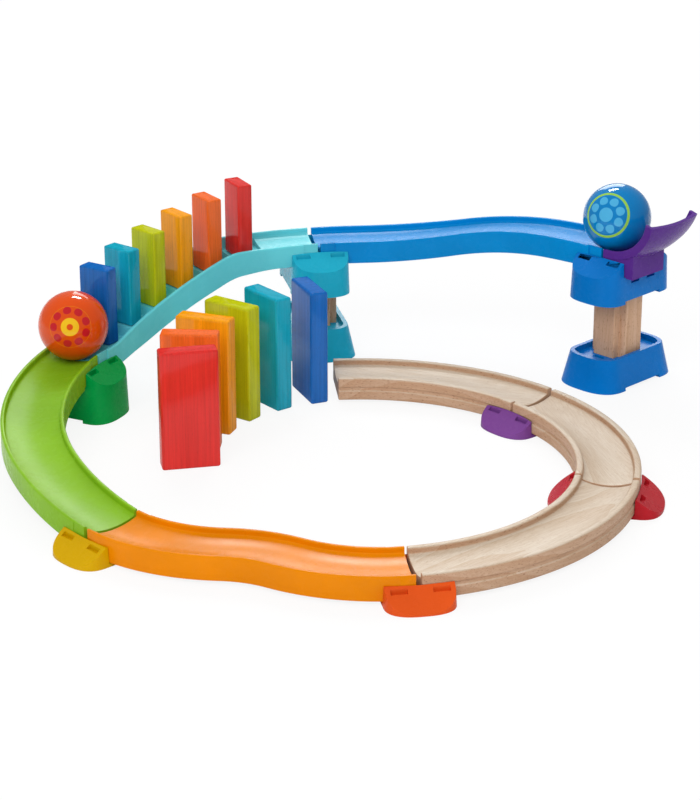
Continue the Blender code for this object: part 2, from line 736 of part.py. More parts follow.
def ramp_ring(distance):
    """Section of the ramp at a distance on its floor line, square to that line."""
    turn = max(0.0, (distance - RAMP_LEVEL) / RAMP_RADIUS)
    along = min(distance, RAMP_LEVEL) + RAMP_RADIUS * math.sin(turn)
    rise = RAMP_RADIUS * (1.0 - math.cos(turn)) - PLASTIC_DEPTH
    half = TRACK_WIDTH / 2.0 + RAMP_FLARE * (turn / math.radians(RAMP_TURN)) ** 2
    inner = half - PLASTIC_WALL
    foot = PLASTIC_CHANNEL + PLASTIC_FLOOR
    wall = rail_side(half, inner, foot)
    channel = sagging(inner, PLASTIC_CHANNEL, FLOOR_SAG, FLOOR_POINTS)
    under = sagging(half, foot, FLOOR_SAG, FLOOR_POINTS)[-2:0:-1]
    ring = []
    for offset, drop in wall + channel + mirrored(wall) + under:
        up = drop + PLASTIC_DEPTH
        outwards = along - up * math.sin(turn)
        height = RAIL_START + rise + up * math.cos(turn)
        ring.append(Vector((-outwards, offset, height)))
    return ring


def ramp_floor(along):
    """Height of the ramp's floor line at a plan distance from the seam."""
    turn = math.asin(max(0.0, along - RAMP_LEVEL) / RAMP_RADIUS)
    return RAIL_START - PLASTIC_DEPTH + RAMP_RADIUS * (1.0 - math.cos(turn))


def block_ring(along, low):
    """Outline of the ramp's hook block across the ramp; its top lies inside the scoop."""
    far = TRACK_WIDTH / 2.0 - FIT
    top = ramp_floor(along) - RAMP_BITE
    outline = [(-RAMP_BLOCK_FAR, low), (far, low), (far, top + RAMP_BLOCK_RISE)]
    outline += [(RAMP_BLOCK_BEND, top), (-RAMP_BLOCK_FAR, top)]
    return [Vector((-along, across, height)) for across, height in outline]


def add_ramp(toy, saddle, place, heading):
    """Launch ramp: scoop, skirts that stand in the saddle and a block that hooks over its side."""
    bent = RAMP_RADIUS * math.radians(RAMP_TURN)
    begin = SEAM_GAP / 2.0
    marks = [begin] + [RAMP_LEVEL + bent * index / RAMP_STATIONS for index in range(RAMP_STATIONS + 1)]
    scoop = mesh_from(loft([ramp_ring(mark) for mark in marks]), "launch_ramp")
    ramp = toy.part("launch_ramp", scoop, "purple", place, heading)
    half = TRACK_WIDTH / 2.0
    inner = half - PLASTIC_WALL
    seat = RAIL_START - PLATE_UNDER_RAIL + FIT
    under = RAIL_START - RAIL_ROUND - FIT
    side_of_saddle = BOSS_HALF_LENGTH + BOSS_DRAFT + FIT
    outer = side_of_saddle + RAMP_BLOCK_THICK
    skirts = boxes([
        ((-side_of_saddle - FIT, inner + FIT, seat), (-begin - FIT, half - FIT, under)),
        ((-side_of_saddle - FIT, -half + FIT, seat), (-begin - FIT, -inner - FIT, under)),
    ])
    shape(ramp, toy.cutter("ramp_skirts", skirts, place, heading), "UNION")
    low = RAIL_START - RAMP_BLOCK_DROP
    block = loft([block_ring(side_of_saddle, low), block_ring(outer, low)])
    shape(ramp, toy.cutter("ramp_block", block, place, heading), "UNION")
    slots = []
    for across in (-HOOK_SLOT_SPACING / 2.0, HOOK_SLOT_SPACING / 2.0):
        slot_low = (-outer, across - HOOK_SLOT_LENGTH / 2.0, low - HOOK_SLOT_HEIGHT)
        slot_high = (-BOSS_HALF_LENGTH + SHELL_WALL / 2.0, across + HOOK_SLOT_LENGTH / 2.0, low)
        slots.append((slot_low, slot_high))
    shape(saddle, toy.cutter("start_hook_slots", boxes(slots), place, heading))


def add_balls(toy):
    """Ball on the start tower and ball at the green seam, clear of the last domino; each on its pivot."""
    center = ROUTE.center(BLUE_BALL_SHIFT)
    rest = ROUTE.at(BLUE_BALL_SHIFT, 0.0, RAIL_START - PLASTIC_DEPTH + BALL_RADIUS + FIT)
    pivot = toy.pivot("blue_ball_pivot", (center.x, center.y, 0.0))
    add_ball(toy, "blue_ball", "blue_paint", rest, pivot)
    before_domino = riser_distances()[-1] - TREAD_MARGIN + BALL_RADIUS + FIT
    where = max(GREEN_SEAM + ORANGE_BALL_SHIFT, before_domino)
    center = ROUTE.center(GREEN_SEAM + SEAM_GAP)
    rest = ROUTE.at(where, 0.0, lime_rail(where) - PLASTIC_DEPTH + BALL_RADIUS + FIT)
    pivot_height = rest.z + lime_fall(rest.xy) - lime_fall(center)
    pivot = toy.pivot("orange_ball_pivot", (center.x, center.y, pivot_height))
    add_ball(toy, "orange_ball", "orange_paint", rest, pivot)


def add_ball(toy, name, colour, rest, pivot):
    bm = bmesh.new()
    bmesh.ops.create_uvsphere(bm, u_segments=BALL_SEGMENTS, v_segments=BALL_RINGS, radius=BALL_RADIUS)
    bmesh.ops.translate(bm, vec=rest - Vector(pivot.location), verts=bm.verts[:])
    toy.part(name, mesh_from(bm, name, ROUND_FACET_ANGLE), colour, parent=pivot)


def domino_mesh(name, thick, wide, tall):
    """Upright block behind its lower front edge, which is the tipping axis."""
    bm = boxes([((-thick, -wide / 2.0, 0.0), (0.0, wide / 2.0, tall))])
    edges = bm.edges[:]
    bmesh.ops.bevel(bm, geom=edges, offset=DOMINO_ROUND, segments=2, profile=0.5, affect="EDGES")
    return mesh_from(bm, name, ROUND_FACET_ANGLE)


def add_small_dominoes(toy):
    """One small domino at the front edge of each tread."""
    for colour, riser, height in zip(STAIR_COLOURS, riser_distances(), tread_heights()):
        point, heading = ROUTE.pose(riser - TREAD_MARGIN)
        name = f"small_domino_{colour}"
        place = (point.x, point.y, height + FIT)
        block = domino_mesh(name, SMALL_THICK, SMALL_WIDE, SMALL_TALL)
        toy.part(name, block, colour + "_paint", place, heading)


def add_large_dominoes(toy):
    """Row of large dominoes on the floor, on an arc round a center beside the open end."""
    end, end_heading = ROUTE.pose(ROUTE.length)
    ahead = Vector((math.cos(end_heading), math.sin(end_heading)))
    center = end + ROW_AHEAD * ahead + ROW_ASIDE * left_of(end_heading)
    for index, colour in enumerate(ROW_COLOURS):
        angle = math.radians(ROW_FIRST_ANGLE + ROW_PITCH_ANGLE * index)
        point = center + ROW_RADIUS * Vector((math.cos(angle), math.sin(angle)))
        name = f"large_domino_{colour}"
        block = domino_mesh(name, LARGE_THICK, LARGE_WIDE, LARGE_TALL)
        place = (point.x, point.y, 0.0)
        toy.part(name, block, colour + "_paint", place, angle + math.pi / 2.0)


def center_on_origin(toy):
    """Move the toy so that the middle of its footprint is the origin."""
    bpy.context.view_layer.update()
    graph = bpy.context.evaluated_depsgraph_get()
    points = []
    for piece in toy.parts.objects:
        if piece.type == "MESH":
            shaped = piece.evaluated_get(graph)
            points += [shaped.matrix_world @ Vector(corner) for corner in shaped.bound_box]
    middle_x = (min(point.x for point in points) + max(point.x for point in points)) / 2.0
    middle_y = (min(point.y for point in points) + max(point.y for point in points)) / 2.0
    toy.root.location = (-middle_x, -middle_y, 0.0)
    bpy.context.view_layer.update()


def main():
    toy = Toy()
    add_tracks(toy)
    saddle, place, heading = add_tower(toy, "start", "blue", 0.0, RAIL_START)
    add_ramp(toy, saddle, place, heading)
    add_tower(toy, "middle", "teal", MIDDLE_SEAM, RAIL_MIDDLE)
    add_tall_connector(toy, "green_connector", "green", GREEN_SEAM, RAIL_GREEN)
    for colour, seam in LOW_SEAMS:
        add_connector(toy, colour + "_connector", colour, seam, LOW_RAIL, 0.0)
    add_balls(toy)
    add_small_dominoes(toy)
    add_large_dominoes(toy)
    center_on_origin(toy)


main()
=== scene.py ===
"""Dresses the ball and domino track toy: tracks, connectors, towers, balls, dominoes and the studio."""
import json
import math

import bmesh
import bpy
from bpy.props import FloatProperty, FloatVectorProperty, IntProperty, PointerProperty
from mathutils import Matrix, Vector


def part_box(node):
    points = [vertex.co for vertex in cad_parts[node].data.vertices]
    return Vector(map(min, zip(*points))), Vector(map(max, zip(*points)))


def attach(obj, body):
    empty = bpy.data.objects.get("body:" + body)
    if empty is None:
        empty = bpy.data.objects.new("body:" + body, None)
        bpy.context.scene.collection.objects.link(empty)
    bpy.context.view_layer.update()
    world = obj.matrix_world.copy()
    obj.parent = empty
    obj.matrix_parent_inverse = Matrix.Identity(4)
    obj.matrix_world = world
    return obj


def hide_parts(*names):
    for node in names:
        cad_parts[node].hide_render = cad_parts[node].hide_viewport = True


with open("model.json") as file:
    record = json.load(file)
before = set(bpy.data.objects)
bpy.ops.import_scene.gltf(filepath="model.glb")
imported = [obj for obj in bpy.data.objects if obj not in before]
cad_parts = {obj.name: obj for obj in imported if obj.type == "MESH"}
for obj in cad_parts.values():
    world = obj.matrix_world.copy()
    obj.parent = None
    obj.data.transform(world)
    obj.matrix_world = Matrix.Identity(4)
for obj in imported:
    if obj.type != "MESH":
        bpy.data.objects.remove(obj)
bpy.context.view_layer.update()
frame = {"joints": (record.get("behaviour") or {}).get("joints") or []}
JOINTS = {joint["child"]: joint for joint in frame["joints"]}

bl_info = {
    "name": "Ball track toy",
    "version": (1, 0, 0),
    "blender": (4, 5, 0),
    "location": "3D View > Sidebar > Ball track",
    "description": "Finished pieces of a ball and domino track, and the studio they stand in",
    "category": "Object",
}

# The route of the solids: start, heading, and radius and turn of each bend
START = Vector((0.1789, 0.0516))
START_HEADING = 135.0
BLUE_BEND = (0.2225, 57.0)
STAIR_BEND = (0.2225, 52.2)
LIME_BENDS = ((0.168, 48.7), (0.253, 19.8))
WAVE_BENDS = ((0.0957, 43.6), (0.0775, -27.5), (0.0997, 41.7))
WOOD_BENDS = ((0.1484, 67.5), (0.1484, 54.0), (0.1484, 54.3))
BENDS = (BLUE_BEND, STAIR_BEND) + LIME_BENDS + WAVE_BENDS + WOOD_BENDS

# Heights of the rail tops, and where the falling tracks begin and end their slopes
RAIL_START = 0.0939
RAIL_MIDDLE = 0.0795
RAIL_GREEN = 0.0405
TRACK_HEIGHT = 0.015
RAIL_LOW = 0.0025 + TRACK_HEIGHT
BLUE_SLOPE = (0.050, 0.190, 0.5)
STAIR_SLOPE = (0.060, 0.187, 0.12)

# Sections of the tracks
FIT = 0.0003
SEAM_GAP = 0.0024
HALF_TRACK = 0.0195
PLASTIC_WALL = 0.0027
PLASTIC_FLOOR = 0.0022
CHANNEL = 0.0034
SAG = 0.0029
WOOD_RAIL = 0.0045
GROOVE_DEPTH = 0.0008
GROOVE_HALF = 0.0017
PANEL_LENGTH = 0.011
PANEL_DEPTH = 0.0006
FLOOR_STEPS = 18
ARC_STEPS = 4
ARC_SHARE = 0.49
SKIRT_EDGE = 0.0004
WOOD_SOLE_EDGE = 0.0012
GROOVE_EDGE = 0.0005
WOOD_END_EDGE = 0.0006

# Stair track
STEP_COUNT = 6
FIRST_RISER = 0.061
STEP_PITCH = 0.0237
FIRST_TREAD_DEPTH = 0.008
LAST_RISER = 0.0032
STAIR_WALL_EXTRA = 0.003
STAIR_WALL_BLEND = 0.3
NOSING_STEPS = 6
NOSING_CLEAR = 0.0006
LEAST_ROOF = 0.001

# Connectors, saddles, bases and posts
TROUGH_HALF = HALF_TRACK + FIT
PLATE_UNDER_RAIL = TRACK_HEIGHT + FIT
BOSS_DROP = 0.0057
BOSS_SLOPE = 0.72
BOSS_SQUARE = 0.77
BOSS_HALF_LENGTH = 0.0186
BOSS_REACH = 0.0330
BOSS_DRAFT = 0.0016
BOSS_CREST = 0.0002
NOTCH_LENGTH = 0.0096
NOTCH_WIDTH = 0.0028
NOTCH_REAR = 0.0012
NOTCH_DEPTH = 0.0040
NOTCH_SPACING = 0.0236
SHELL_WALL = 0.0026
SADDLE_DEPTH = 0.034
ARCH_HEIGHT = 0.002
ARCH_INSET = 0.002
HOOK_SLOT = (0.0084, 0.0050, 0.016)
BASE_HEIGHT = 0.0220
BASE_HALF_LENGTH = 0.0190
BASE_REACH = 0.0330
BASE_DRAFT = 0.0050
BASE_RIM = 0.0030
BASE_RECESS = 0.0038
BASE_SOLE = 0.0040
LATCH_HOLE = (0.0080, 0.0028)
POST_WIDTH = 0.0278
POST_NOTCH = 0.0055
POST_EDGE = 0.0007
SLEEVE_WALL = 0.0024
END_STEPS = 36
TROUGH_STEPS = 20

# Launch ramp
RAMP_LEVEL = 0.0040
RAMP_RADIUS = 0.0416
RAMP_TURN = 74.0
RAMP_FLARE = 0.0045
RAMP_BLOCK_FAR = 0.0130
RAMP_BLOCK_THICK = 0.0055
RAMP_BLOCK_DROP = 0.0157
RAMP_BLOCK_BEND = 0.0120
RAMP_BLOCK_RISE = 0.0023
RAMP_BITE = 0.0005
RAMP_EDGE = 0.0006
RAMP_SKIRT_DROP = 0.0013
RAMP_STEPS = 36

# Largest angles in degrees between faces that are shaded as one
TRACK_SMOOTH = 40.0
MOULD_SMOOTH = 35.0
BALL_SMOOTH = 60.0

# Camera of the photograph in the route's own plan frame
CAMERA_PLACE = Vector((0.0, -1.4731, 0.5875))
CAMERA_DOWN = 21.66
CAMERA_LENS = 108.94

# Area lights: size, place and target
FILL_LIGHT = ((1.6, 1.2), (-0.35, -1.4, 1.35), (0.0, 0.0, 0.0))
REAR_LIGHT = ((1.8, 1.0), (0.0, 1.5, 1.5), (0.0, 0.0, 0.05))
STRIP_LIGHT = ((0.62, 0.28), (0.0, 1.25, 1.6), (0.0, 0.0, 0.05))
PANEL_LIGHT = ((0.9, 0.8), (0.12, 1.8, 0.85), (0.0, 0.0, 0.05))
FLOOR_THICK = 0.02
FLOOR_DROP = 0.0002

ROW_COLOURS = ("blue", "teal", "lime", "amber", "orange", "red")


def length_property(label, text, value, low, high, digits=5):
    return FloatProperty(name=label, description=text, default=value, min=low, max=high, precision=digits,
                         unit="LENGTH")


def block_property(label, value):
    return FloatVectorProperty(name=label, description="Thickness, width and height", default=value, size=3,
                               precision=4, unit="LENGTH")


def colour_property(label, value):
    return FloatVectorProperty(name=label, description="Base colour of this finish", default=value, size=3,
                               min=0.0, max=1.0, subtype="COLOR")


def power_property(label, text, value):
    return FloatProperty(name=label, description=text, default=value, min=0.0, max=500.0, unit="POWER")


class ToySizes(bpy.types.PropertyGroup):
    """Finishing sizes of the pieces."""

    rail_round: length_property("Rail rounding", "Radius over a moulded rail", 0.00125, 0.0002, 0.0013)
    foot_round: length_property("Channel fillet", "Radius at a moulded wall's foot", 0.0011, 0.0002, 0.002)
    wood_round: length_property("Wooden rail rounding", "Radius along a wooden rail", 0.0015, 0.0002, 0.002)
    wood_foot: length_property("Wooden fillet", "Radius at the milled channel's edge", 0.0018, 0.0002, 0.003)
    station: length_property("Station step", "Spacing of sections along a track", 0.003, 0.001, 0.01, 4)
    nosing: length_property("Nosing", "Length of a tread's turn into its riser", 0.0009, 0.0002, 0.002)
    edge: length_property("Moulded edge", "Width of the mouldings' softened edges", 0.0004, 0.0001, 0.001)
    small_domino: block_property("Small domino", (0.0104, 0.0226, 0.0512))
    large_domino: block_property("Large domino", (0.0121, 0.0362, 0.0764))
    domino_round: length_property("Domino rounding", "Radius of a domino's edges", 0.0016, 0.0002, 0.004)
    ball_segments: IntProperty(name="Ball segments", description="Faces round a ball",
                               default=128, min=32, max=256)


class ToyColours(bpy.types.PropertyGroup):
    """Colours of the mouldings, the woods and the balls."""

    blue: colour_property("Tower blue", (0.0, 0.178, 0.58))
    sky: colour_property("Track blue", (0.0, 0.264, 0.665))
    teal: colour_property("Teal", (0.015, 0.43, 0.60))
    aqua: colour_property("Stair track", (0.15, 0.70, 0.77))
    green: colour_property("Green", (0.0, 0.33, 0.065))
    lime: colour_property("Lime", (0.235, 0.49, 0.012))
    yellow: colour_property("Yellow", (0.67, 0.39, 0.0))
    orange: colour_property("Orange", (0.79, 0.24, 0.0))
    coral: colour_property("Orange red", (0.77, 0.095, 0.012))
    red: colour_property("Red", (0.49, 0.014, 0.023))
    violet: colour_property("Violet", (0.21, 0.064, 0.3))
    purple: colour_property("Ramp purple", (0.10, 0.026, 0.26))
    beech_pale: colour_property("Beech, pale", (0.66, 0.57, 0.46))
    # Flank colour of the beech: partly the side grain's own tan, partly painted shade on the flanks.
    beech_tan_and_shade: colour_property("Beech, tan", (0.575, 0.39, 0.27))
    # Lighter flank colour of the posts: painted light that offsets the shade under the saddles.
    beech_post: colour_property("Beech, posts", (0.70, 0.47, 0.32))
    red_paint: colour_property("Red stain", (0.73, 0.024, 0.018))
    orange_paint: colour_property("Orange stain", (0.9, 0.145, 0.014))
    amber_paint: colour_property("Amber stain", (0.95, 0.35, 0.0))
    lime_paint: colour_property("Lime stain", (0.53, 0.57, 0.0))
    teal_paint: colour_property("Teal stain", (0.0, 0.38, 0.53))
    blue_paint: colour_property("Blue stain", (0.0, 0.13, 0.49))
    ball_blue: colour_property("Blue ball", (0.0, 0.205, 0.53))
    ball_blue_print: colour_property("Blue ball print", (0.07, 0.42, 0.72))
    ball_blue_ring: colour_property("Blue ball ring", (0.31, 0.60, 0.07))
    ball_orange: colour_property("Orange ball", (0.78, 0.08, 0.004))
    ball_orange_print: colour_property("Orange ball print", (0.52, 0.012, 0.02))
    ball_orange_ring: colour_property("Orange ball ring", (0.85, 0.50, 0.01))


class StudioSettings(bpy.types.PropertyGroup):
    """Light and floor of the studio."""

    ambient: FloatProperty(name="Ambient", description="Strength of the white surroundings",
                           default=0.45, min=0.0, max=2.0)
    key: power_property("Front fill", "Power of the soft light at the front", 23.0)
    rear: power_property("Rear softbox", "Power of the softbox behind and above the toy", 23.0)
    sheen: power_property("Rear strip", "Power of the lamp that the channels and balls mirror", 24.0)
    panel: power_property("Rear panel", "Power of the low panel whose sheen lies on the channels", 10.5)
    floor_white: FloatProperty(name="Floor white", description="Share of even white in the floor",
                               default=0.88, min=0.0, max=1.0, subtype="FACTOR")
    floor_size: length_property("Floor size", "Side of the floor", 8.0, 1.0, 50.0, 2)


def left_of(heading):
    """Unit vector to the left of a heading in plan."""
    return Vector((-math.sin(heading), math.cos(heading)))


class Route:
    """A plan curve of arcs that is read by its arc length."""

    def __init__(self, start, heading, bends):
        self.arcs = []
        point = Vector(start)
        angle = math.radians(heading)
        length = 0.0
        for radius, turn in bends:
            bend = math.copysign(1.0 / radius, turn)
            self.arcs.append((length, point, angle, bend))
            length += radius * math.radians(abs(turn))
            center = point + left_of(angle) / bend
            angle += math.radians(turn)
            point = center - left_of(angle) / bend
        self.length = length

    def pose(self, distance):
        """Point and heading at a distance; the route runs straight before its start."""
        if distance < 0.0:
            _, point, angle, _ = self.arcs[0]
            return point + distance * Vector((math.cos(angle), math.sin(angle))), angle
        begin, point, angle, bend = [arc for arc in self.arcs if arc[0] <= distance][-1]
        heading = angle + bend * (distance - begin)
        return point + (left_of(angle) - left_of(heading)) / bend, heading

    def center(self, distance):
        """Middle of the bend at a distance."""
        _, point, angle, bend = [arc for arc in self.arcs if arc[0] <= distance][-1]
        return point + left_of(angle) / bend

    def at(self, distance, offset, height):
        """Point beside the route: offset to the left and height over the floor."""
        point, heading = self.pose(distance)
        side = point + offset * left_of(heading)
        return Vector((side.x, side.y, height))


def bend_length(bend):
    return bend[0] * math.radians(abs(bend[1]))


# The blue ball's pivot is the middle of the first bend, which ties the route to the frame
PLAN_SHIFT = Vector(JOINTS["blue_ball"]["pos_m"]).xy - Route(START, START_HEADING, BENDS).center(0.0)
ROUTE = Route(START + PLAN_SHIFT, START_HEADING, BENDS)
MIDDLE_SEAM = bend_length(BLUE_BEND)
GREEN_SEAM = MIDDLE_SEAM + bend_length(STAIR_BEND)
YELLOW_SEAM = GREEN_SEAM + sum(bend_length(bend) for bend in LIME_BENDS)
CORAL_SEAM = YELLOW_SEAM + sum(bend_length(bend) for bend in WAVE_BENDS)
RED_SEAM = CORAL_SEAM + bend_length(WOOD_BENDS[0])
VIOLET_SEAM = RED_SEAM + bend_length(WOOD_BENDS[1])


def eased(value, low, high, blend):
    """Share of the way from low to high, with a rounded start and end."""
    share = min(max((value - low) / (high - low), 0.0), 1.0)
    if share < blend:
        return share ** 2 / (2.0 * blend * (1.0 - blend))
    if share > 1.0 - blend:
        return 1.0 - (1.0 - share) ** 2 / (2.0 * blend * (1.0 - blend))
    return (share - blend / 2.0) / (1.0 - blend)


def blue_rail(distance):
    return RAIL_START + (RAIL_MIDDLE - RAIL_START) * eased(distance, *BLUE_SLOPE)


def stair_rail(distance):
    return RAIL_MIDDLE + (RAIL_GREEN - RAIL_MIDDLE) * eased(distance - MIDDLE_SEAM, *STAIR_SLOPE)


def lime_rail(distance):
    """Rail height of the lime curve, which lies in one tilted plane."""
    top, _ = ROUTE.pose(GREEN_SEAM)
    bottom, _ = ROUTE.pose(YELLOW_SEAM)
    point, _ = ROUTE.pose(distance)
    chord = bottom - top
    return RAIL_GREEN - (RAIL_GREEN - RAIL_LOW) * (point - top).dot(chord) / chord.length_squared


def low_rail(_distance):
    return RAIL_LOW


def settings():
    scene = bpy.context.scene
    return scene.balltrack_sizes, scene.balltrack_colours, scene.balltrack_studio


# Mesh helpers

def add_object(name, mesh):
    piece = bpy.data.objects.new(name, mesh)
    bpy.context.scene.collection.objects.link(piece)
    return piece


def object_from(name, bm):
    """Object from a bmesh with outward faces."""
    bmesh.ops.recalc_face_normals(bm, faces=bm.faces[:])
    mesh = bpy.data.meshes.new(name)
    bm.to_mesh(mesh)
    bm.free()
    return add_object(name, mesh)


def discard(piece):
    data = piece.data
    bpy.data.objects.remove(piece, do_unlink=True)
    if data.users == 0:
        bpy.data.meshes.remove(data)


def settle(piece):
    """Turn a piece's modifiers into its plain mesh."""
    bpy.context.view_layer.update()
    graph = bpy.context.evaluated_depsgraph_get()
    old = piece.data
    mesh = bpy.data.meshes.new_from_object(piece.evaluated_get(graph), depsgraph=graph)
    piece.modifiers.clear()
    piece.data = mesh
    mesh.name = piece.name
    if old.users == 0:
        bpy.data.meshes.remove(old)
    if len(mesh.polygons) == 0:
        raise RuntimeError(f"{piece.name} has no faces")


def carve(piece, tools, operation="DIFFERENCE"):
    """Booleans of a piece with bmesh tools."""
    cutters = [object_from(f"{piece.name}_tool_{index}", tool) for index, tool in enumerate(tools)]
    for cutter in cutters:
        modifier = piece.modifiers.new(cutter.name, "BOOLEAN")
        modifier.operation = operation
        modifier.solver = "EXACT"
        modifier.object = cutter
    settle(piece)
    for cutter in cutters:
        discard(cutter)


def soften(piece, width, segments=2, angle=30.0):
    """Small rounding on all sharp edges."""
    bevel = piece.modifiers.new("edges", "BEVEL")
    bevel.width = width
    bevel.segments = segments
    bevel.limit_method = "ANGLE"
    bevel.angle_limit = math.radians(angle)
    bevel.use_clamp_overlap = True
    bevel.miter_outer = "MITER_ARC"
    settle(piece)


def smooth(piece, angle):
    piece.data.shade_smooth()
    piece.data.set_sharp_from_angle(angle=math.radians(angle))


def even_out(piece, angle):
    """Smooth shading that keeps large flat faces flat."""
    smooth(piece, angle)
    weights = piece.modifiers.new("even_normals", "WEIGHTED_NORMAL")
    weights.mode = "FACE_AREA"
    weights.weight = 50
    weights.keep_sharp = True
    settle(piece)


def fix_order(mesh):
    """Sort points and faces by place; a sphere's own order changes from run to run."""
    points = [tuple(vert.co) for vert in mesh.vertices]
    order = sorted(points)
    rank = {point: index for index, point in enumerate(order)}
    faces = sorted([rank[points[index]] for index in face.vertices] for face in mesh.polygons)
    mesh.clear_geometry()
    mesh.from_pydata(order, [], faces)


def hand_over(piece, material, body, slot, *nodes):
    """Give a finished piece its material and its place in the frame."""
    piece.data.materials.clear()
    piece.data.materials.append(material)
    piece.data.validate()
    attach(piece, body)
    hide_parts(*nodes)


def loft(rings):
    """Closed body through rings of equally many points."""
    bm = bmesh.new()
    loops = [[bm.verts.new(point) for point in ring] for ring in rings]
    count = len(rings[0])
    for first, second in zip(loops, loops[1:]):
        for index in range(count):
            following = (index + 1) % count
            bm.faces.new((first[index], first[following], second[following], second[index]))
    bm.faces.new(loops[0][::-1])
    bm.faces.new(loops[-1])
    return bm


def boxes(spans):
    """One bmesh with a box for each pair of corners."""
    bm = bmesh.new()
    for low, high in spans:
        cube = bmesh.ops.create_cube(bm, size=1.0)["verts"]
        size = [top - bottom for bottom, top in zip(low, high)]
        middle = [(top + bottom) / 2.0 for bottom, top in zip(low, high)]
        bmesh.ops.scale(bm, vec=size, verts=cube)
        bmesh.ops.translate(bm, vec=middle, verts=cube)
    return bm


def placed(bm, point, heading, height=0.0):
    """Move a bmesh from a seam's own frame to its place."""
    place = Matrix.Translation((point.x, point.y, height)) @ Matrix.Rotation(heading, 4, "Z")
    bmesh.ops.transform(bm, matrix=place, verts=bm.verts[:])
    return bm


def trim(bm, point, normal):
    """Cut everything on the normal's side off a body and close the cut."""
    everything = bm.verts[:] + bm.edges[:] + bm.faces[:]
    cut = bmesh.ops.bisect_plane(bm, geom=everything, clear_outer=True, plane_co=point, plane_no=normal)
    edges = [item for item in cut["geom_cut"] if isinstance(item, bmesh.types.BMEdge)]
    bmesh.ops.edgeloop_fill(bm, edges=edges)


def rounded(corners):
    """Closed outline through (x, y, radius) corners; every corner with a radius gets an arc."""
    outline = []
    count = len(corners)
    for index, (x, y, radius) in enumerate(corners):
        corner = Vector((x, y))
        if radius <= 0.0:
            outline.append(corner)
            continue
        before = Vector(corners[index - 1][:2]) - corner
        after = Vector(corners[(index + 1) % count][:2]) - corner
        opening = before.angle(after)
        reach = radius / math.tan(opening / 2.0)
        reach = min(reach, ARC_SHARE * before.length, ARC_SHARE * after.length)
        first = corner + reach * before.normalized()
        last = corner + reach * after.normalized()
        for step in range(ARC_STEPS + 1):
            share = step / ARC_STEPS
            outline.append((1 - share) ** 2 * first + 2 * share * (1 - share) * corner + share ** 2 * last)
    return outline


# Sections of the tracks, as (offset to the right, height over the rail top)

def sagging(inner, depth, sag, fillet):
    """Channel floor from the right wall to the left one, with a fillet at either wall."""
    points = []
    for index in range(FLOOR_STEPS + 1):
        offset = inner * (1.0 - 2.0 * index / FLOOR_STEPS)
        radius = fillet if index in (0, FLOOR_STEPS) else 0.0
        points.append((offset, -depth - sag * (1.0 - (offset / inner) ** 2), radius))
    return points


def mirrored(points):
    return [(-offset, height, radius) for offset, height, radius in reversed(points)]


def moulded_section(sizes, depth, sag, height, ceiling, under_sag):
    """Moulded track that is open below."""
    inner = HALF_TRACK - PLASTIC_WALL
    wall = [(HALF_TRACK, -height, SKIRT_EDGE), (HALF_TRACK, 0.0, sizes.rail_round)]
    wall += [(inner, 0.0, sizes.rail_round)]
    floor = sagging(inner, depth, sag, sizes.foot_round)
    ceiling_line = sagging(inner, ceiling, under_sag, 0.0)[::-1]
    below = [(-inner, -height, SKIRT_EDGE)] + ceiling_line + [(inner, -height, SKIRT_EDGE)]
    return rounded(wall + floor + mirrored(wall) + below)


def wooden_section(sizes):
    """Solid wooden track with a milled channel and grooved flanks."""
    inner = HALF_TRACK - WOOD_RAIL
    middle = -TRACK_HEIGHT / 2.0
    deep = HALF_TRACK - GROOVE_DEPTH
    lip = GROOVE_HALF / 2.0
    wall = [(HALF_TRACK, -TRACK_HEIGHT, WOOD_SOLE_EDGE), (HALF_TRACK, middle - GROOVE_HALF, GROOVE_EDGE),
            (deep, middle - lip, GROOVE_EDGE), (deep, middle + lip, GROOVE_EDGE),
            (HALF_TRACK, middle + GROOVE_HALF, GROOVE_EDGE), (HALF_TRACK, 0.0, sizes.wood_round),
            (inner, 0.0, sizes.wood_round)]
    return rounded(wall + sagging(inner, CHANNEL, SAG, sizes.wood_foot) + mirrored(wall))


# Node trees

def feed(tree, socket, value):
    """Link a socket to an output, or set the socket's own value."""
    if hasattr(value, "is_output"):
        tree.links.new(value, socket)
    elif socket.type == "RGBA":
        socket.default_value = tuple(value)[:3] + (1.0,)
    else:
        socket.default_value = value


def finish(tree, node, **inputs):
    """Feed a node's inputs by name; underscores stand for spaces."""
    for name, value in inputs.items():
        feed(tree, node.inputs[name.replace("_", " ")], value)


def add_node(tree, kind, links=(), **values):
    """Node with its properties set and its inputs fed; links are (input, value or output)."""
    node = tree.nodes.new(kind)
    for name, value in values.items():
        setattr(node, name, value)
    for key, value in links:
        feed(tree, node.inputs[key], value)
    return node


def new_tree(name, kind, inputs, outputs):
    """Empty node tree with named sockets; returns it with its inputs and its output node."""
    tree = bpy.data.node_groups.new(name, kind)
    for side, sockets in (("INPUT", inputs), ("OUTPUT", outputs)):
        for label, socket in sockets.items():
            tree.interface.new_socket(label, in_out=side, socket_type="NodeSocket" + socket)
    return tree, add_node(tree, "NodeGroupInput").outputs, add_node(tree, "NodeGroupOutput")


def made_once(name, maker):
    """The node tree of that name, made at its first use."""
    return bpy.data.node_groups.get(name) or maker(name)


def input_key(tree, name):
    """Identifier of a tree's named input."""
    for item in tree.interface.items_tree:
        if item.in_out == "INPUT" and item.name == name:
            return item.identifier
    raise RuntimeError(f"{tree.name} has no input {name}")


def grow(piece, tree, **inputs):
    """Give a host object a node tree with its inputs and keep the result as a plain mesh."""
    modifier = piece.modifiers.new(tree.name, "NODES")
    modifier.node_group = tree
    for name, value in inputs.items():
        modifier[input_key(tree, name)] = value
    settle(piece)


def dressed(tree, geometry, material):
    """Plain geometry with its material."""
    real = add_node(tree, "GeometryNodeRealizeInstances", [("Geometry", geometry)])
    links = [("Geometry", real.outputs["Geometry"]), ("Material", material)]
    return add_node(tree, "GeometryNodeSetMaterial", links).outputs["Geometry"]


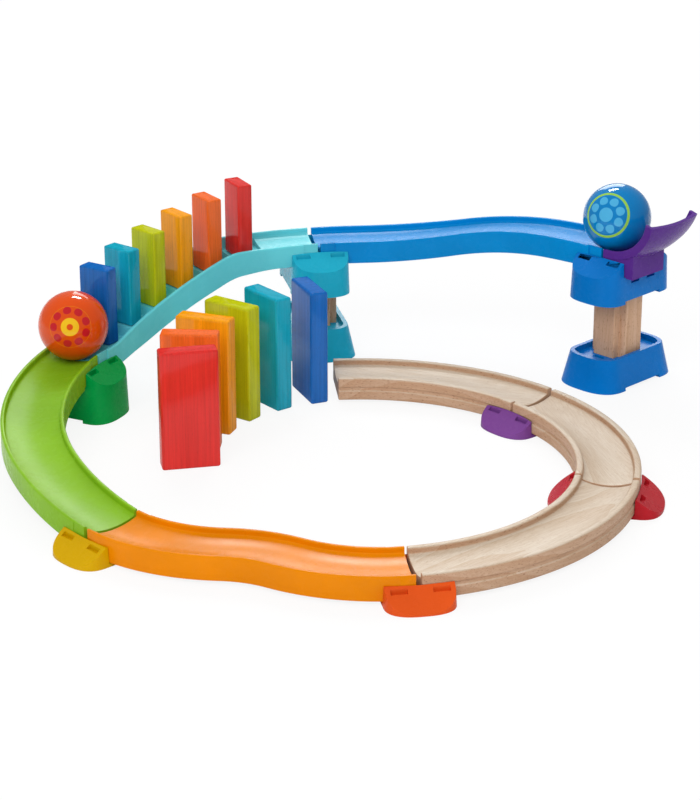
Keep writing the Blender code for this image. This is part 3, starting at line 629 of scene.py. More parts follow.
def track_tree(name):
    """Tree that sweeps a section along a route and lifts it onto the route's slope."""
    tree, given, out = new_tree(name, "GeometryNodeTree",
                                {"Route": "Geometry", "Section": "Object", "Finish": "Material"},
                                {"Track": "Geometry"})
    route = add_node(tree, "GeometryNodeMeshToCurve", [("Mesh", given["Route"])])
    upright = add_node(tree, "GeometryNodeSetCurveNormal", [("Curve", route.outputs["Curve"])], mode="Z_UP")
    section = add_node(tree, "GeometryNodeObjectInfo", [("Object", given["Section"])])
    outline = add_node(tree, "GeometryNodeMeshToCurve", [("Mesh", section.outputs["Geometry"])])
    body = add_node(tree, "GeometryNodeCurveToMesh", [("Fill Caps", True)])
    finish(tree, body, Curve=upright.outputs["Curve"], Profile_Curve=outline.outputs["Curve"])
    lift = add_node(tree, "GeometryNodeInputNamedAttribute", [("Name", "lift")], data_type="FLOAT")
    rise = add_node(tree, "ShaderNodeCombineXYZ", [("Z", lift.outputs["Attribute"])])
    links = [("Geometry", body.outputs["Mesh"]), ("Offset", rise.outputs["Vector"])]
    risen = add_node(tree, "GeometryNodeSetPosition", links)
    finish(tree, out, Track=dressed(tree, risen.outputs["Geometry"], given["Finish"]))
    return tree


def path_host(name, begin, end, rail, step):
    """Polyline along the route with the rail height as its lift."""
    count = math.ceil((end - begin) / step)
    marks = [begin + (end - begin) * index / count for index in range(count + 1)]
    mesh = bpy.data.meshes.new(name)
    points = [ROUTE.at(mark, 0.0, 0.0) for mark in marks]
    mesh.from_pydata(points, [(index, index + 1) for index in range(count)], [])
    lift = mesh.attributes.new("lift", "FLOAT", "POINT")
    lift.data.foreach_set("value", [rail(mark) for mark in marks])
    return add_object(name, mesh)


def section_host(name, outline):
    """Closed polyline of a section; the sweep points its Y axis down."""
    mesh = bpy.data.meshes.new(name)
    count = len(outline)
    edges = [(index, (index + 1) % count) for index in range(count)]
    mesh.from_pydata([(x, -y, 0.0) for x, y in outline], edges, [])
    return add_object(name, mesh)


def swept_track(name, begin, end, rail, outline, material, step):
    """Track body along the route."""
    section = section_host(name + "_section", outline)
    piece = path_host(name + "_finish", begin, end, rail, step)
    grow(piece, made_once("track_sweep", track_tree), Section=section, Finish=material)
    discard(section)
    bm = bmesh.new()
    bm.from_mesh(piece.data)
    bmesh.ops.recalc_face_normals(bm, faces=bm.faces[:])
    bm.to_mesh(piece.data)
    bm.free()
    return piece


def domino_tree(name):
    """Tree for an upright block with rounded edges that keeps its own grain coordinates."""
    tree, given, out = new_tree(name, "GeometryNodeTree",
                                {"Geometry": "Geometry", "Size": "Vector", "Center": "Vector",
                                 "Grain shift": "Vector", "Rounding": "Float", "Heading": "Float",
                                 "Finish": "Material"},
                                {"Block": "Geometry"})
    counts = [("Vertices " + axis, 10) for axis in "XYZ"]
    cube = add_node(tree, "GeometryNodeMeshCube", [("Size", (9.0, 9.0, 9.0))] + counts)
    where = add_node(tree, "GeometryNodeInputPosition").outputs["Position"]

    def vector(operation, first, *second, **scale):
        links = [(0, first)] + [(1, value) for value in second]
        node = add_node(tree, "ShaderNodeVectorMath", links, operation=operation)
        finish(tree, node, **scale)
        return node.outputs[0]

    side = vector("SIGN", where)
    inwards = vector("SUBTRACT", vector("ABSOLUTE", where), (0.5, 0.5, 0.5))
    share = vector("SCALE", inwards, Scale=0.25)
    half = vector("SCALE", given["Size"], Scale=0.5)
    radius = add_node(tree, "ShaderNodeCombineXYZ", [(axis, given["Rounding"]) for axis in "XYZ"])
    core = vector("MULTIPLY", vector("SUBTRACT", half, radius.outputs["Vector"]), side)
    outwards = vector("NORMALIZE", vector("MULTIPLY", share, side))
    surface = vector("ADD", core, vector("SCALE", outwards, Scale=given["Rounding"]))
    block = add_node(tree, "GeometryNodeSetPosition")
    finish(tree, block, Geometry=cube.outputs["Mesh"], Position=surface)
    own = add_node(tree, "GeometryNodeInputPosition").outputs["Position"]
    grain = vector("ADD", own, given["Grain shift"])
    kept = add_node(tree, "GeometryNodeStoreNamedAttribute", data_type="FLOAT_VECTOR", domain="POINT")
    finish(tree, kept, Geometry=block.outputs["Geometry"], Name="grain", Value=grain)
    turn = add_node(tree, "ShaderNodeCombineXYZ", [("Z", given["Heading"])])
    moved = add_node(tree, "GeometryNodeTransform")
    finish(tree, moved, Geometry=kept.outputs["Geometry"], Translation=given["Center"],
           Rotation=turn.outputs["Vector"])
    finish(tree, out, Block=dressed(tree, moved.outputs["Geometry"], given["Finish"]))
    return tree


# Finishes

def maths(tree, operation, *values, clamp=False):
    """Math node; values are numbers or outputs."""
    node = add_node(tree, "ShaderNodeMath", enumerate(values), operation=operation, use_clamp=clamp)
    return node.outputs[0]


def span(tree, value, low, high, to_low=0.0, to_high=1.0):
    """Value mapped smoothly from one range to another and held there."""
    links = [("Value", value), ("From Min", low), ("From Max", high), ("To Min", to_low), ("To Max", to_high)]
    return add_node(tree, "ShaderNodeMapRange", links, interpolation_type="SMOOTHSTEP").outputs["Result"]


def blended(tree, share, first, second, mode="MIX"):
    """Colour mix; share, first and second are values or outputs."""
    links = [(0, share), (6, first), (7, second)]
    return add_node(tree, "ShaderNodeMix", links, data_type="RGBA", blend_type=mode).outputs[2]


def tinted(tree, share, colour, tint):
    """Colour that goes to its product with a tint by a share."""
    return blended(tree, share, colour, blended(tree, 1.0, colour, tint, "MULTIPLY"))


def noise(tree, vector, scale, detail=2.0, roughness=0.5):
    links = [("Vector", vector), ("Scale", scale), ("Detail", detail), ("Roughness", roughness)]
    return add_node(tree, "ShaderNodeTexNoise", links).outputs[0]


def stretched(tree, vector, scale):
    return add_node(tree, "ShaderNodeMapping", [("Vector", vector), ("Scale", scale)]).outputs["Vector"]


def moved_vector(tree, vector, place, turn):
    """Coordinates of a frame that lies at a place with a turn."""
    links = [("Vector", vector), ("Location", place), ("Rotation", turn)]
    return add_node(tree, "ShaderNodeMapping", links, vector_type="TEXTURE").outputs["Vector"]


def object_vector(tree):
    return add_node(tree, "ShaderNodeTexCoord").outputs["Object"]


def facing_up(tree):
    """Z of the surface's own normal."""
    normal = add_node(tree, "ShaderNodeTexCoord").outputs["Normal"]
    return add_node(tree, "ShaderNodeSeparateXYZ", [(0, normal)]).outputs["Z"]


def moulded_group(name):
    """Slight tone, gloss and surface changes of moulded plastic."""
    tree, given, out = new_tree(name, "ShaderNodeTree",
                                {"Vector": "Vector", "Colour": "Color", "Gloss": "Float"},
                                {"Colour": "Color", "Roughness": "Float", "Height": "Float"})
    where = given["Vector"]
    flow = noise(tree, where, 22.0, 3.0)
    darker = blended(tree, 1.0, given["Colour"], (0.90, 0.90, 0.91), "MULTIPLY")
    handled = noise(tree, where, 130.0, 4.0, 0.6)
    skin = noise(tree, where, 1500.0)
    ripple = noise(tree, where, 160.0, 1.0)
    finish(tree, out,
           Colour=blended(tree, span(tree, flow, 0.35, 0.68), darker, given["Colour"]),
           Roughness=maths(tree, "ADD", given["Gloss"], span(tree, handled, 0.3, 0.75, -0.02, 0.03)),
           Height=maths(tree, "ADD", maths(tree, "MULTIPLY", skin, 0.35), ripple))
    return tree


def grain_group(name):
    """Wood that grows along the vector's X axis: rings, fibres, dark ray flecks and a surface height."""
    tree, given, out = new_tree(name, "ShaderNodeTree", {"Vector": "Vector", "Ring scale": "Float"},
                                {"Rings": "Float", "Fibres": "Float", "Flecks": "Float", "Height": "Float"})
    where = given["Vector"]
    wander = noise(tree, stretched(tree, where, (7.0, 30.0, 30.0)), 1.0)
    rings = add_node(tree, "ShaderNodeTexWave", wave_type="RINGS", rings_direction="X", wave_profile="SAW")
    finish(tree, rings, Vector=where, Scale=given["Ring scale"], Distortion=0.6, Detail=2.0, Detail_Scale=1.5,
           Phase_Offset=maths(tree, "MULTIPLY", wander, 14.0))
    fibres = noise(tree, stretched(tree, where, (45.0, 1300.0, 1300.0)), 1.0, 3.0, 0.6)
    flecks = span(tree, noise(tree, stretched(tree, where, (420.0, 1900.0, 1900.0)), 1.0, 1.0), 0.63, 0.73)
    finish(tree, out, Rings=rings.outputs["Fac"], Fibres=span(tree, fibres, 0.25, 0.75), Flecks=flecks,
           Height=maths(tree, "SUBTRACT", fibres, maths(tree, "MULTIPLY", flecks, 0.6)))
    return tree


def print_group(name):
    """Masks of a round print about the vector's Z axis: outer ring, ring of dots and middle disc."""
    numbers = ("Ring angle", "Ring half", "Dots", "Orbit angle", "Dot angle", "Disc angle", "Hole angle")
    tree, given, out = new_tree(name, "ShaderNodeTree",
                                {"Vector": "Vector", **{label: "Float" for label in numbers}},
                                {"Ring": "Float", "Dots": "Float", "Disc": "Float"})
    unit = add_node(tree, "ShaderNodeVectorMath", [(0, given["Vector"])], operation="NORMALIZE")
    axes = add_node(tree, "ShaderNodeSeparateXYZ", [(0, unit.outputs[0])]).outputs
    polar = maths(tree, "ARCCOSINE", axes["Z"])
    round_it = maths(tree, "ARCTAN2", axes["Y"], axes["X"])

    def inside(value, limit):
        """One where the value is under the limit, with a fine soft edge."""
        return maths(tree, "MULTIPLY_ADD", maths(tree, "SUBTRACT", limit, value), 60.0, 0.5, clamp=True)

    off_ring = maths(tree, "ABSOLUTE", maths(tree, "SUBTRACT", polar, given["Ring angle"]))
    sector = maths(tree, "DIVIDE", 2.0 * math.pi, given["Dots"])
    turned = maths(tree, "SUBTRACT", maths(tree, "WRAP", round_it, sector, 0.0),
                   maths(tree, "MULTIPLY", sector, 0.5))
    sideways = maths(tree, "MULTIPLY", turned, maths(tree, "SINE", polar))
    outwards = maths(tree, "SUBTRACT", polar, given["Orbit angle"])
    squares = maths(tree, "ADD", maths(tree, "POWER", sideways, 2.0), maths(tree, "POWER", outwards, 2.0))
    disc = inside(polar, given["Disc angle"])
    hole = inside(polar, given["Hole angle"])
    finish(tree, out, Ring=inside(off_ring, given["Ring half"]),
           Dots=inside(maths(tree, "SQRT", squares), given["Dot angle"]),
           Disc=maths(tree, "SUBTRACT", disc, hole, clamp=True))
    return tree


def blank_material(name):
    """New material; returns it with its tree and its Principled node."""
    material = bpy.data.materials.new(name)
    material.use_nodes = True
    tree = material.node_tree
    return material, tree, tree.nodes["Principled BSDF"]


def use_group(tree, name, maker, **inputs):
    """Outputs of a group node with its inputs fed by name."""
    node = add_node(tree, "ShaderNodeGroup", node_tree=made_once(name, maker))
    finish(tree, node, **inputs)
    return node.outputs


def bump(tree, surface, height, strength, distance):
    links = [("Strength", strength), ("Distance", distance), ("Height", height)]
    finish(tree, surface, Normal=add_node(tree, "ShaderNodeBump", links).outputs["Normal"])


def moulded_plastic(name, colour):
    """Gloss toy plastic."""
    known = bpy.data.materials.get(name)
    if known:
        return known
    material, tree, surface = blank_material(name)
    where = object_vector(tree)
    skin = use_group(tree, "moulded_surface", moulded_group, Vector=where, Colour=colour, Gloss=0.27)
    finish(tree, surface, Base_Color=skin["Colour"], Roughness=skin["Roughness"], Specular_IOR_Level=0.1)
    bump(tree, surface, skin["Height"], 0.03, 0.00004)
    return material


def bare_beech(name, colours, turn, shift, ring_scale=42.0, flank=None):
    """Oiled beech cut from a straight board whose grain runs along a turned X axis; its tops are paler than
    its flanks, partly from the grain and partly as painted light and shade.
    """
    material, tree, surface = blank_material(name)
    board = moved_vector(tree, object_vector(tree), shift, turn)
    grain = use_group(tree, "wood_grain", grain_group, Vector=board, Ring_scale=ring_scale)
    upwards = facing_up(tree)
    # Up-facing faces get the pale colour and the others the flank colour: partly the grain's own tones,
    # partly painted light on the tops and painted shade on the flanks.
    pale = blended(tree, span(tree, upwards, 0.3, 0.95), flank or colours.beech_tan_and_shade, colours.beech_pale)
    toned = tinted(tree, maths(tree, "MULTIPLY", grain["Rings"], 0.75), pale, (0.86, 0.76, 0.66))
    fibred = tinted(tree, grain["Fibres"], toned, (0.88, 0.82, 0.76))
    fleck_share = maths(tree, "MULTIPLY", grain["Flecks"], span(tree, upwards, 0.3, 0.95, 0.85, 0.35))
    finish(tree, surface, Base_Color=tinted(tree, fleck_share, fibred, (0.52, 0.36, 0.26)),
           Roughness=maths(tree, "MULTIPLY_ADD", grain["Fibres"], 0.14, 0.42), Specular_IOR_Level=0.2)
    bump(tree, surface, grain["Height"], 0.35, 0.00008)
    return material


def stained_wood(name, colour):
    """Stained and lacquered wood whose grain runs up the block; the lacquer is thin on its top."""
    known = bpy.data.materials.get(name)
    if known:
        return known
    material, tree, surface = blank_material(name)
    own = add_node(tree, "ShaderNodeAttribute", attribute_name="grain").outputs["Vector"]
    links = [("Vector", own), ("Rotation", (0.0, math.radians(90.0), 0.0))]
    upright = add_node(tree, "ShaderNodeMapping", links).outputs["Vector"]
    grain = use_group(tree, "wood_grain", grain_group, Vector=upright, Ring_scale=55.0)
    deep = tuple(0.84 * channel for channel in colour)
    light = tuple(min(1.0, 1.06 * channel + 0.01) for channel in colour)
    toned = blended(tree, maths(tree, "MULTIPLY", grain["Rings"], 0.5), light, deep)
    fibred = tinted(tree, maths(tree, "MULTIPLY", grain["Fibres"], 0.6), toned, (0.80, 0.80, 0.80))
    streaks = noise(tree, stretched(tree, upright, (10.0, 620.0, 620.0)), 1.0, 3.0, 0.65)
    streaked = tinted(tree, span(tree, streaks, 0.35, 0.7), fibred, (0.86, 0.86, 0.86))
    flecked = tinted(tree, maths(tree, "MULTIPLY", grain["Flecks"], 0.3), streaked, (0.55, 0.55, 0.55))
    finish(tree, surface, Base_Color=flecked, Specular_IOR_Level=0.0, Coat_Roughness=0.09,
           Roughness=maths(tree, "MULTIPLY_ADD", grain["Fibres"], 0.16, 0.30),
           Coat_Weight=span(tree, facing_up(tree), 0.6, 0.98, 0.55, 0.05))
    bump(tree, surface, grain["Height"], 0.3, 0.00008)
    return material


def printed_ball(name, center, turn, colours, masks):
    """Gloss ball with a round print; colours are body, print and ring."""
    material, tree, surface = blank_material(name)
    where = object_vector(tree)
    body, ink, ring = colours
    skin = use_group(tree, "moulded_surface", moulded_group, Vector=where, Colour=body, Gloss=0.12)
    own = moved_vector(tree, where, center, turn)
    marks = use_group(tree, "round_print", print_group, Vector=own, **masks)
    dotted = blended(tree, marks["Dots"], skin["Colour"], ink)
    disced = blended(tree, marks["Disc"], dotted, ring if masks["Hole_angle"] > 0.0 else ink)
    finish(tree, surface, Base_Color=blended(tree, marks["Ring"], disced, ring), Roughness=skin["Roughness"],
           Specular_IOR_Level=0.06, Coat_Weight=0.45, Coat_Roughness=0.04)
    inked = maths(tree, "MAXIMUM", marks["Ring"], maths(tree, "MAXIMUM", marks["Dots"], marks["Disc"]))
    height = maths(tree, "ADD", maths(tree, "MULTIPLY", skin["Height"], 0.05), inked)
    bump(tree, surface, height, 0.2, 0.00004)
    return material


# Tracks

def panel_tool(seam, rail_top):
    """Cutter for the shallow panels in the flanks of both track ends at a seam."""
    side = HALF_TRACK - PANEL_DEPTH
    far = HALF_TRACK + TRACK_HEIGHT
    left = ((-PANEL_LENGTH, side, -2.0 * TRACK_HEIGHT), (PANEL_LENGTH, far, TRACK_HEIGHT))
    right = ((-PANEL_LENGTH, -far, -2.0 * TRACK_HEIGHT), (PANEL_LENGTH, -side, TRACK_HEIGHT))
    point, heading = ROUTE.pose(seam)
    return placed(boxes([left, right]), point, heading, rail_top)


def seat_tool(seam, rail_top):
    """Cutter that levels a falling track's underside over a connector's plate."""
    reach = BOSS_HALF_LENGTH + BOSS_DRAFT + 2.0 * FIT
    far = 2.0 * HALF_TRACK
    span_low = (-reach, -far, -2.0 * TRACK_HEIGHT)
    point, heading = ROUTE.pose(seam)
    return placed(boxes([(span_low, (reach, far, -TRACK_HEIGHT))]), point, heading, rail_top)


class BALLTRACK_OT_moulded_tracks(bpy.types.Operator):
    """Make the blue track, the lime curve and the orange wave track"""

    bl_idname = "balltrack.moulded_tracks"
    bl_label = "Moulded tracks"

    def execute(self, context):
        sizes, colours, _ = settings()
        gap = SEAM_GAP / 2.0
        outline = moulded_section(sizes, CHANNEL, SAG, TRACK_HEIGHT, CHANNEL + PLASTIC_FLOOR, SAG)
        runs = (
            ("blue_track", "sky", 0.0, MIDDLE_SEAM, blue_rail,
             [panel_tool(0.0, RAIL_START), panel_tool(MIDDLE_SEAM, RAIL_MIDDLE)]),
            ("lime_curve", "lime", GREEN_SEAM, YELLOW_SEAM, lime_rail,
             [panel_tool(GREEN_SEAM, RAIL_GREEN), seat_tool(GREEN_SEAM, RAIL_GREEN),
              panel_tool(YELLOW_SEAM, RAIL_LOW)]),
            ("wave_track", "orange", YELLOW_SEAM, CORAL_SEAM, low_rail,
             [panel_tool(YELLOW_SEAM, RAIL_LOW), panel_tool(CORAL_SEAM, RAIL_LOW)]),
        )
        for node, colour, begin, end, rail, tools in runs:
            material = moulded_plastic("moulded_" + colour, getattr(colours, colour))
            piece = swept_track(node, begin + gap, end - gap, rail, outline, material, sizes.station)
            carve(piece, tools)
            smooth(piece, TRACK_SMOOTH)
            hand_over(piece, material, "track", colour + "_plastic", node)
        return {"FINISHED"}


def riser_distances():
    return [MIDDLE_SEAM + FIRST_RISER + STEP_PITCH * index for index in range(STEP_COUNT)]


def tread_heights():
    """Heights of the treads from the top one down, and of the end floor."""
    top = RAIL_MIDDLE - FIRST_TREAD_DEPTH
    bottom = RAIL_GREEN - CHANNEL - SAG
    last = bottom + LAST_RISER
    return [top + (last - top) * index / (STEP_COUNT - 1) for index in range(STEP_COUNT)] + [bottom]


def stair_floor(distance, blend):
    """Height of the channel's edge and its sag on the stair track; a riser takes the blend's length."""
    levels = [(RAIL_MIDDLE - CHANNEL, SAG)] + [(height, 0.0) for height in tread_heights()[:-1]]
    levels += [(RAIL_GREEN - CHANNEL, SAG)]
    marks = [riser_distances()[0] - STEP_PITCH] + riser_distances()
    height, sag = levels[0]
    for mark, (next_height, next_sag) in zip(marks, levels[1:]):
        share = min(max((distance - mark) / blend, 0.0), 1.0)
        share = share * share * (3.0 - 2.0 * share)
        height += (next_height - height) * share
        sag += (next_sag - sag) * share
    return height, sag


def stair_outline(sizes, distance):
    """Section of the stair track at a distance, relative to its rail top."""
    edge, sag = stair_floor(distance, sizes.nosing)
    below, below_sag = stair_floor(distance + PLASTIC_FLOOR, sizes.nosing)
    rail = stair_rail(distance)
    along = distance - MIDDLE_SEAM
    deeper = eased(along, STAIR_SLOPE[0] / 2.0, STAIR_SLOPE[0] + STEP_PITCH, STAIR_WALL_BLEND)
    shallower = eased(along, STAIR_SLOPE[1] - 2.0 * STEP_PITCH, STAIR_SLOPE[1], STAIR_WALL_BLEND)
    height = TRACK_HEIGHT + STAIR_WALL_EXTRA * (deeper - shallower)
    under = min(edge - sag, below - below_sag) - PLASTIC_FLOOR
    ceiling = max(min(rail - under, height - LEAST_ROOF), LEAST_ROOF)
    return moulded_section(sizes, rail - edge, sag, height, ceiling, 0.0)


class BALLTRACK_OT_stair_track(bpy.types.Operator):
    """Make the pale teal track with its flight of treads"""

    bl_idname = "balltrack.stair_track"
    bl_label = "Stair track"

    def execute(self, context):
        sizes, colours, _ = settings()
        begin = MIDDLE_SEAM + SEAM_GAP / 2.0
        end = GREEN_SEAM - SEAM_GAP / 2.0
        count = math.ceil((end - begin) / sizes.station)
        marks = {begin + (end - begin) * index / count for index in range(count + 1)}
        risers = [riser_distances()[0] - STEP_PITCH] + riser_distances()
        for riser in risers:
            for shift in (0.0, -PLASTIC_FLOOR):
                close = riser + shift
                low = close - NOSING_CLEAR
                high = close + sizes.nosing + NOSING_CLEAR
                marks = {mark for mark in marks if not low < mark < high}
                marks.update(close + sizes.nosing * step / NOSING_STEPS for step in range(NOSING_STEPS + 1))
        marks.update((begin, end))
        rings = []
        for mark in sorted(mark for mark in marks if begin <= mark <= end):
            top = stair_rail(mark)
            rings.append([ROUTE.at(mark, -x, top + y) for x, y in stair_outline(sizes, mark)])
        piece = object_from("stair_track_finish", loft(rings))
        carve(piece, [panel_tool(MIDDLE_SEAM, RAIL_MIDDLE), panel_tool(GREEN_SEAM, RAIL_GREEN)])
        smooth(piece, TRACK_SMOOTH)
        material = moulded_plastic("moulded_aqua", colours.aqua)
        hand_over(piece, material, "track", "teal_plastic", "stair_track")
        return {"FINISHED"}


class BALLTRACK_OT_wooden_curves(bpy.types.Operator):
    """Make the three beech curves"""

    bl_idname = "balltrack.wooden_curves"
    bl_label = "Wooden curves"

    def execute(self, context):
        sizes, colours, _ = settings()
        gap = SEAM_GAP / 2.0
        outline = wooden_section(sizes)
        spans = ((CORAL_SEAM + gap, RED_SEAM - gap), (RED_SEAM + gap, VIOLET_SEAM - gap),
                 (VIOLET_SEAM + gap, ROUTE.length))
        for index, (begin, end) in enumerate(spans):
            node = f"wood_curve_{index + 1}"
            middle, heading = ROUTE.pose((begin + end) / 2.0)
            turn = (math.radians(2.0), math.radians(3.5 - 2.0 * index), heading)
            shift = (middle.x, middle.y, -0.012 - 0.007 * index)
            material = bare_beech(f"beech_board_{index + 1}", colours, turn, shift)
            piece = swept_track(node, begin, end, low_rail, outline, material, sizes.station)
            soften(piece, WOOD_END_EDGE, 2, 60.0)
            smooth(piece, TRACK_SMOOTH)
            hand_over(piece, material, "track", "beech", node)
        return {"FINISHED"}


# Connectors and towers

def half_round(half_length, flank, reach, side=1.0):
    """Plan outline of one half-round end, a little squared, with a straight inner side."""
    points = []
    for index in range(END_STEPS + 1):
        turn = math.pi * index / END_STEPS
        along = math.copysign(abs(math.cos(turn)) ** BOSS_SQUARE, math.cos(turn))
        across = abs(math.sin(turn)) ** BOSS_SQUARE
        points.append((half_length * along, side * (flank + (reach - flank) * across)))
    return points


def rounded_outline(half_length, flank, reach):
    """Plan outline with straight sides and a half-round end at either side of the track."""
    end = half_round(half_length, flank, reach)
    return end + [(-along, -across) for along, across in end]


def prism(lower, upper, bottom, top):
    """Drafted body between two plan outlines."""
    return loft([[Vector((x, y, bottom)) for x, y in lower], [Vector((x, y, top)) for x, y in upper]])


def boss_body(bottom, edge):
    """Connector block with half-round ends, cut level and by the two planes that slope outwards."""
    lower = rounded_outline(BOSS_HALF_LENGTH + BOSS_DRAFT, TROUGH_HALF, BOSS_REACH + BOSS_DRAFT)
    upper = rounded_outline(BOSS_HALF_LENGTH, TROUGH_HALF, BOSS_REACH)
    bm = prism(lower, upper, bottom, edge + BOSS_SLOPE * TROUGH_HALF + SHELL_WALL)
    trim(bm, (0.0, TROUGH_HALF, edge), (0.0, BOSS_SLOPE, 1.0))
    trim(bm, (0.0, -TROUGH_HALF, edge), (0.0, -BOSS_SLOPE, 1.0))
    trim(bm, (0.0, 0.0, edge + BOSS_CREST), (0.0, 0.0, 1.0))
    return bm


def notch_tool(edge):
    """Cutter for the four latch notches behind the inner edges of the half-round ends."""
    spans = []
    inside = TROUGH_HALF + NOTCH_REAR
    outside = inside + NOTCH_WIDTH
    for near, far in ((inside, outside), (-outside, -inside)):
        for along in (-NOTCH_SPACING / 2.0, NOTCH_SPACING / 2.0):
            low = (along - NOTCH_LENGTH / 2.0, near, edge - NOTCH_DEPTH)
            spans.append((low, (along + NOTCH_LENGTH / 2.0, far, edge + NOTCH_DEPTH)))
    return boxes(spans)


def trough_tool(seam, rail_top):
    """Cutter that follows both tracks at a seam and leaves the plate under them."""
    reach = BOSS_HALF_LENGTH + BOSS_DRAFT + TROUGH_HALF
    low = rail_top - PLATE_UNDER_RAIL
    high = rail_top + TRACK_HEIGHT
    corners = ((TROUGH_HALF, low), (TROUGH_HALF, high), (-TROUGH_HALF, high), (-TROUGH_HALF, low))
    marks = [seam - reach + 2.0 * reach * index / TROUGH_STEPS for index in range(TROUGH_STEPS + 1)]
    return loft([[ROUTE.at(mark, -offset, height) for offset, height in corners] for mark in marks])


def pocket_tool(bottom, edge, side):
    """Hollow in a half-round end from below, under the sloping face."""
    inner = TROUGH_HALF + SHELL_WALL
    outline = half_round(BOSS_HALF_LENGTH - SHELL_WALL, inner, BOSS_REACH - SHELL_WALL, side)
    bm = prism(outline, outline, bottom - SHELL_WALL, edge)
    trim(bm, (0.0, side * TROUGH_HALF, edge - SHELL_WALL), (0.0, side * BOSS_SLOPE, 1.0))
    return bm


def arch_tool(bottom):
    """Low passage under the straight sides that leaves feet at the half-round ends."""
    long_half = BASE_HALF_LENGTH + BASE_DRAFT + SHELL_WALL
    wide_half = TROUGH_HALF - ARCH_INSET
    low = (-long_half, -wide_half, bottom - ARCH_HEIGHT)
    return boxes([(low, (long_half, wide_half, bottom + ARCH_HEIGHT))])


def connector(name, seam, rail_top, bottom, extra=()):
    """Connector at a seam; extra tools are in the seam's own frame."""
    point, heading = ROUTE.pose(seam)
    edge = rail_top - BOSS_DROP
    piece = object_from(name, placed(boss_body(bottom, edge), point, heading))
    tools = [notch_tool(edge), pocket_tool(bottom, edge, -1.0), pocket_tool(bottom, edge, 1.0), *extra]
    carve(piece, [trough_tool(seam, rail_top)] + [placed(tool, point, heading) for tool in tools])
    return piece


class BALLTRACK_OT_connectors(bpy.types.Operator):
    """Make the tall green connector and the four low ones"""

    bl_idname = "balltrack.connectors"
    bl_label = "Connectors"

    def execute(self, context):
        sizes, colours, _ = settings()
        plate_under = RAIL_GREEN - PLATE_UNDER_RAIL - SHELL_WALL
        long_half = BOSS_HALF_LENGTH - SHELL_WALL
        core = boxes([((-long_half, -TROUGH_HALF, -SHELL_WALL), (long_half, TROUGH_HALF, plate_under))])
        low_seams = (("yellow", YELLOW_SEAM), ("coral", CORAL_SEAM), ("red", RED_SEAM),
                     ("violet", VIOLET_SEAM))
        runs = [("green", GREEN_SEAM, RAIL_GREEN, (core, arch_tool(0.0)))]
        runs += [(colour, seam, RAIL_LOW, ()) for colour, seam in low_seams]
        for colour, seam, rail_top, extra in runs:
            node = colour + "_connector"
            piece = connector(node + "_finish", seam, rail_top, 0.0, extra)
            soften(piece, sizes.edge)
            even_out(piece, MOULD_SMOOTH)
            material = moulded_plastic("moulded_" + colour, getattr(colours, colour))
            hand_over(piece, material, "track", colour + "_plastic", node)
        return {"FINISHED"}


def post_outline(grow_by):
    """Square post with notched corners, grown by a clearance."""
    outer = POST_WIDTH / 2.0 + grow_by
    inner = POST_WIDTH / 2.0 - POST_NOTCH + grow_by
    quarter = [(outer, inner), (inner, inner), (inner, outer)]
    points = []
    for _ in range(4):
        points += quarter
        quarter = [(-y, x) for x, y in quarter]
    return points


def tower_base(name, point, heading):
    """Drafted foot with a sunk top, a socket for the post and hollow ends."""
    lower = rounded_outline(BASE_HALF_LENGTH + BASE_DRAFT, TROUGH_HALF, BASE_REACH + BASE_DRAFT)
    upper = rounded_outline(BASE_HALF_LENGTH, TROUGH_HALF, BASE_REACH)
    sunk = rounded_outline(BASE_HALF_LENGTH - BASE_RIM, TROUGH_HALF, BASE_REACH - BASE_RIM)
    recess_floor = BASE_HEIGHT - BASE_RECESS
    tools = [prism(sunk, sunk, recess_floor, BASE_HEIGHT + BASE_RIM),
             prism(post_outline(FIT), post_outline(FIT), BASE_SOLE, BASE_HEIGHT)]
    inner = POST_WIDTH / 2.0 + FIT + SLEEVE_WALL
    for side in (-1.0, 1.0):
        outline = half_round(BASE_HALF_LENGTH - SLEEVE_WALL, inner, BASE_REACH - SLEEVE_WALL, side)
        tools.append(prism(outline, outline, -SLEEVE_WALL, recess_floor - SLEEVE_WALL))
        across = sorted((side * inner, side * (inner + LATCH_HOLE[1])))
        low = (-LATCH_HOLE[0] / 2.0, across[0], recess_floor - 2.0 * SLEEVE_WALL)
        tools.append(boxes([(low, (LATCH_HOLE[0] / 2.0, across[1], recess_floor + SLEEVE_WALL))]))
    tools.append(arch_tool(0.0))
    piece = object_from(name, placed(prism(lower, upper, 0.0, BASE_HEIGHT), point, heading))
    carve(piece, [placed(tool, point, heading) for tool in tools])
    return piece


def hook_slot_tool():
    """Cutter for the two slots under the ramp's block."""
    length, height, spacing = HOOK_SLOT
    low = RAIL_START - RAMP_BLOCK_DROP
    outer = BOSS_HALF_LENGTH + BOSS_DRAFT + FIT + RAMP_BLOCK_THICK
    spans = []
    for across in (-spacing / 2.0, spacing / 2.0):
        slot_low = (-outer, across - length / 2.0, low - height)
        spans.append((slot_low, (-BOSS_HALF_LENGTH + SHELL_WALL / 2.0, across + length / 2.0, low)))
    return boxes(spans)


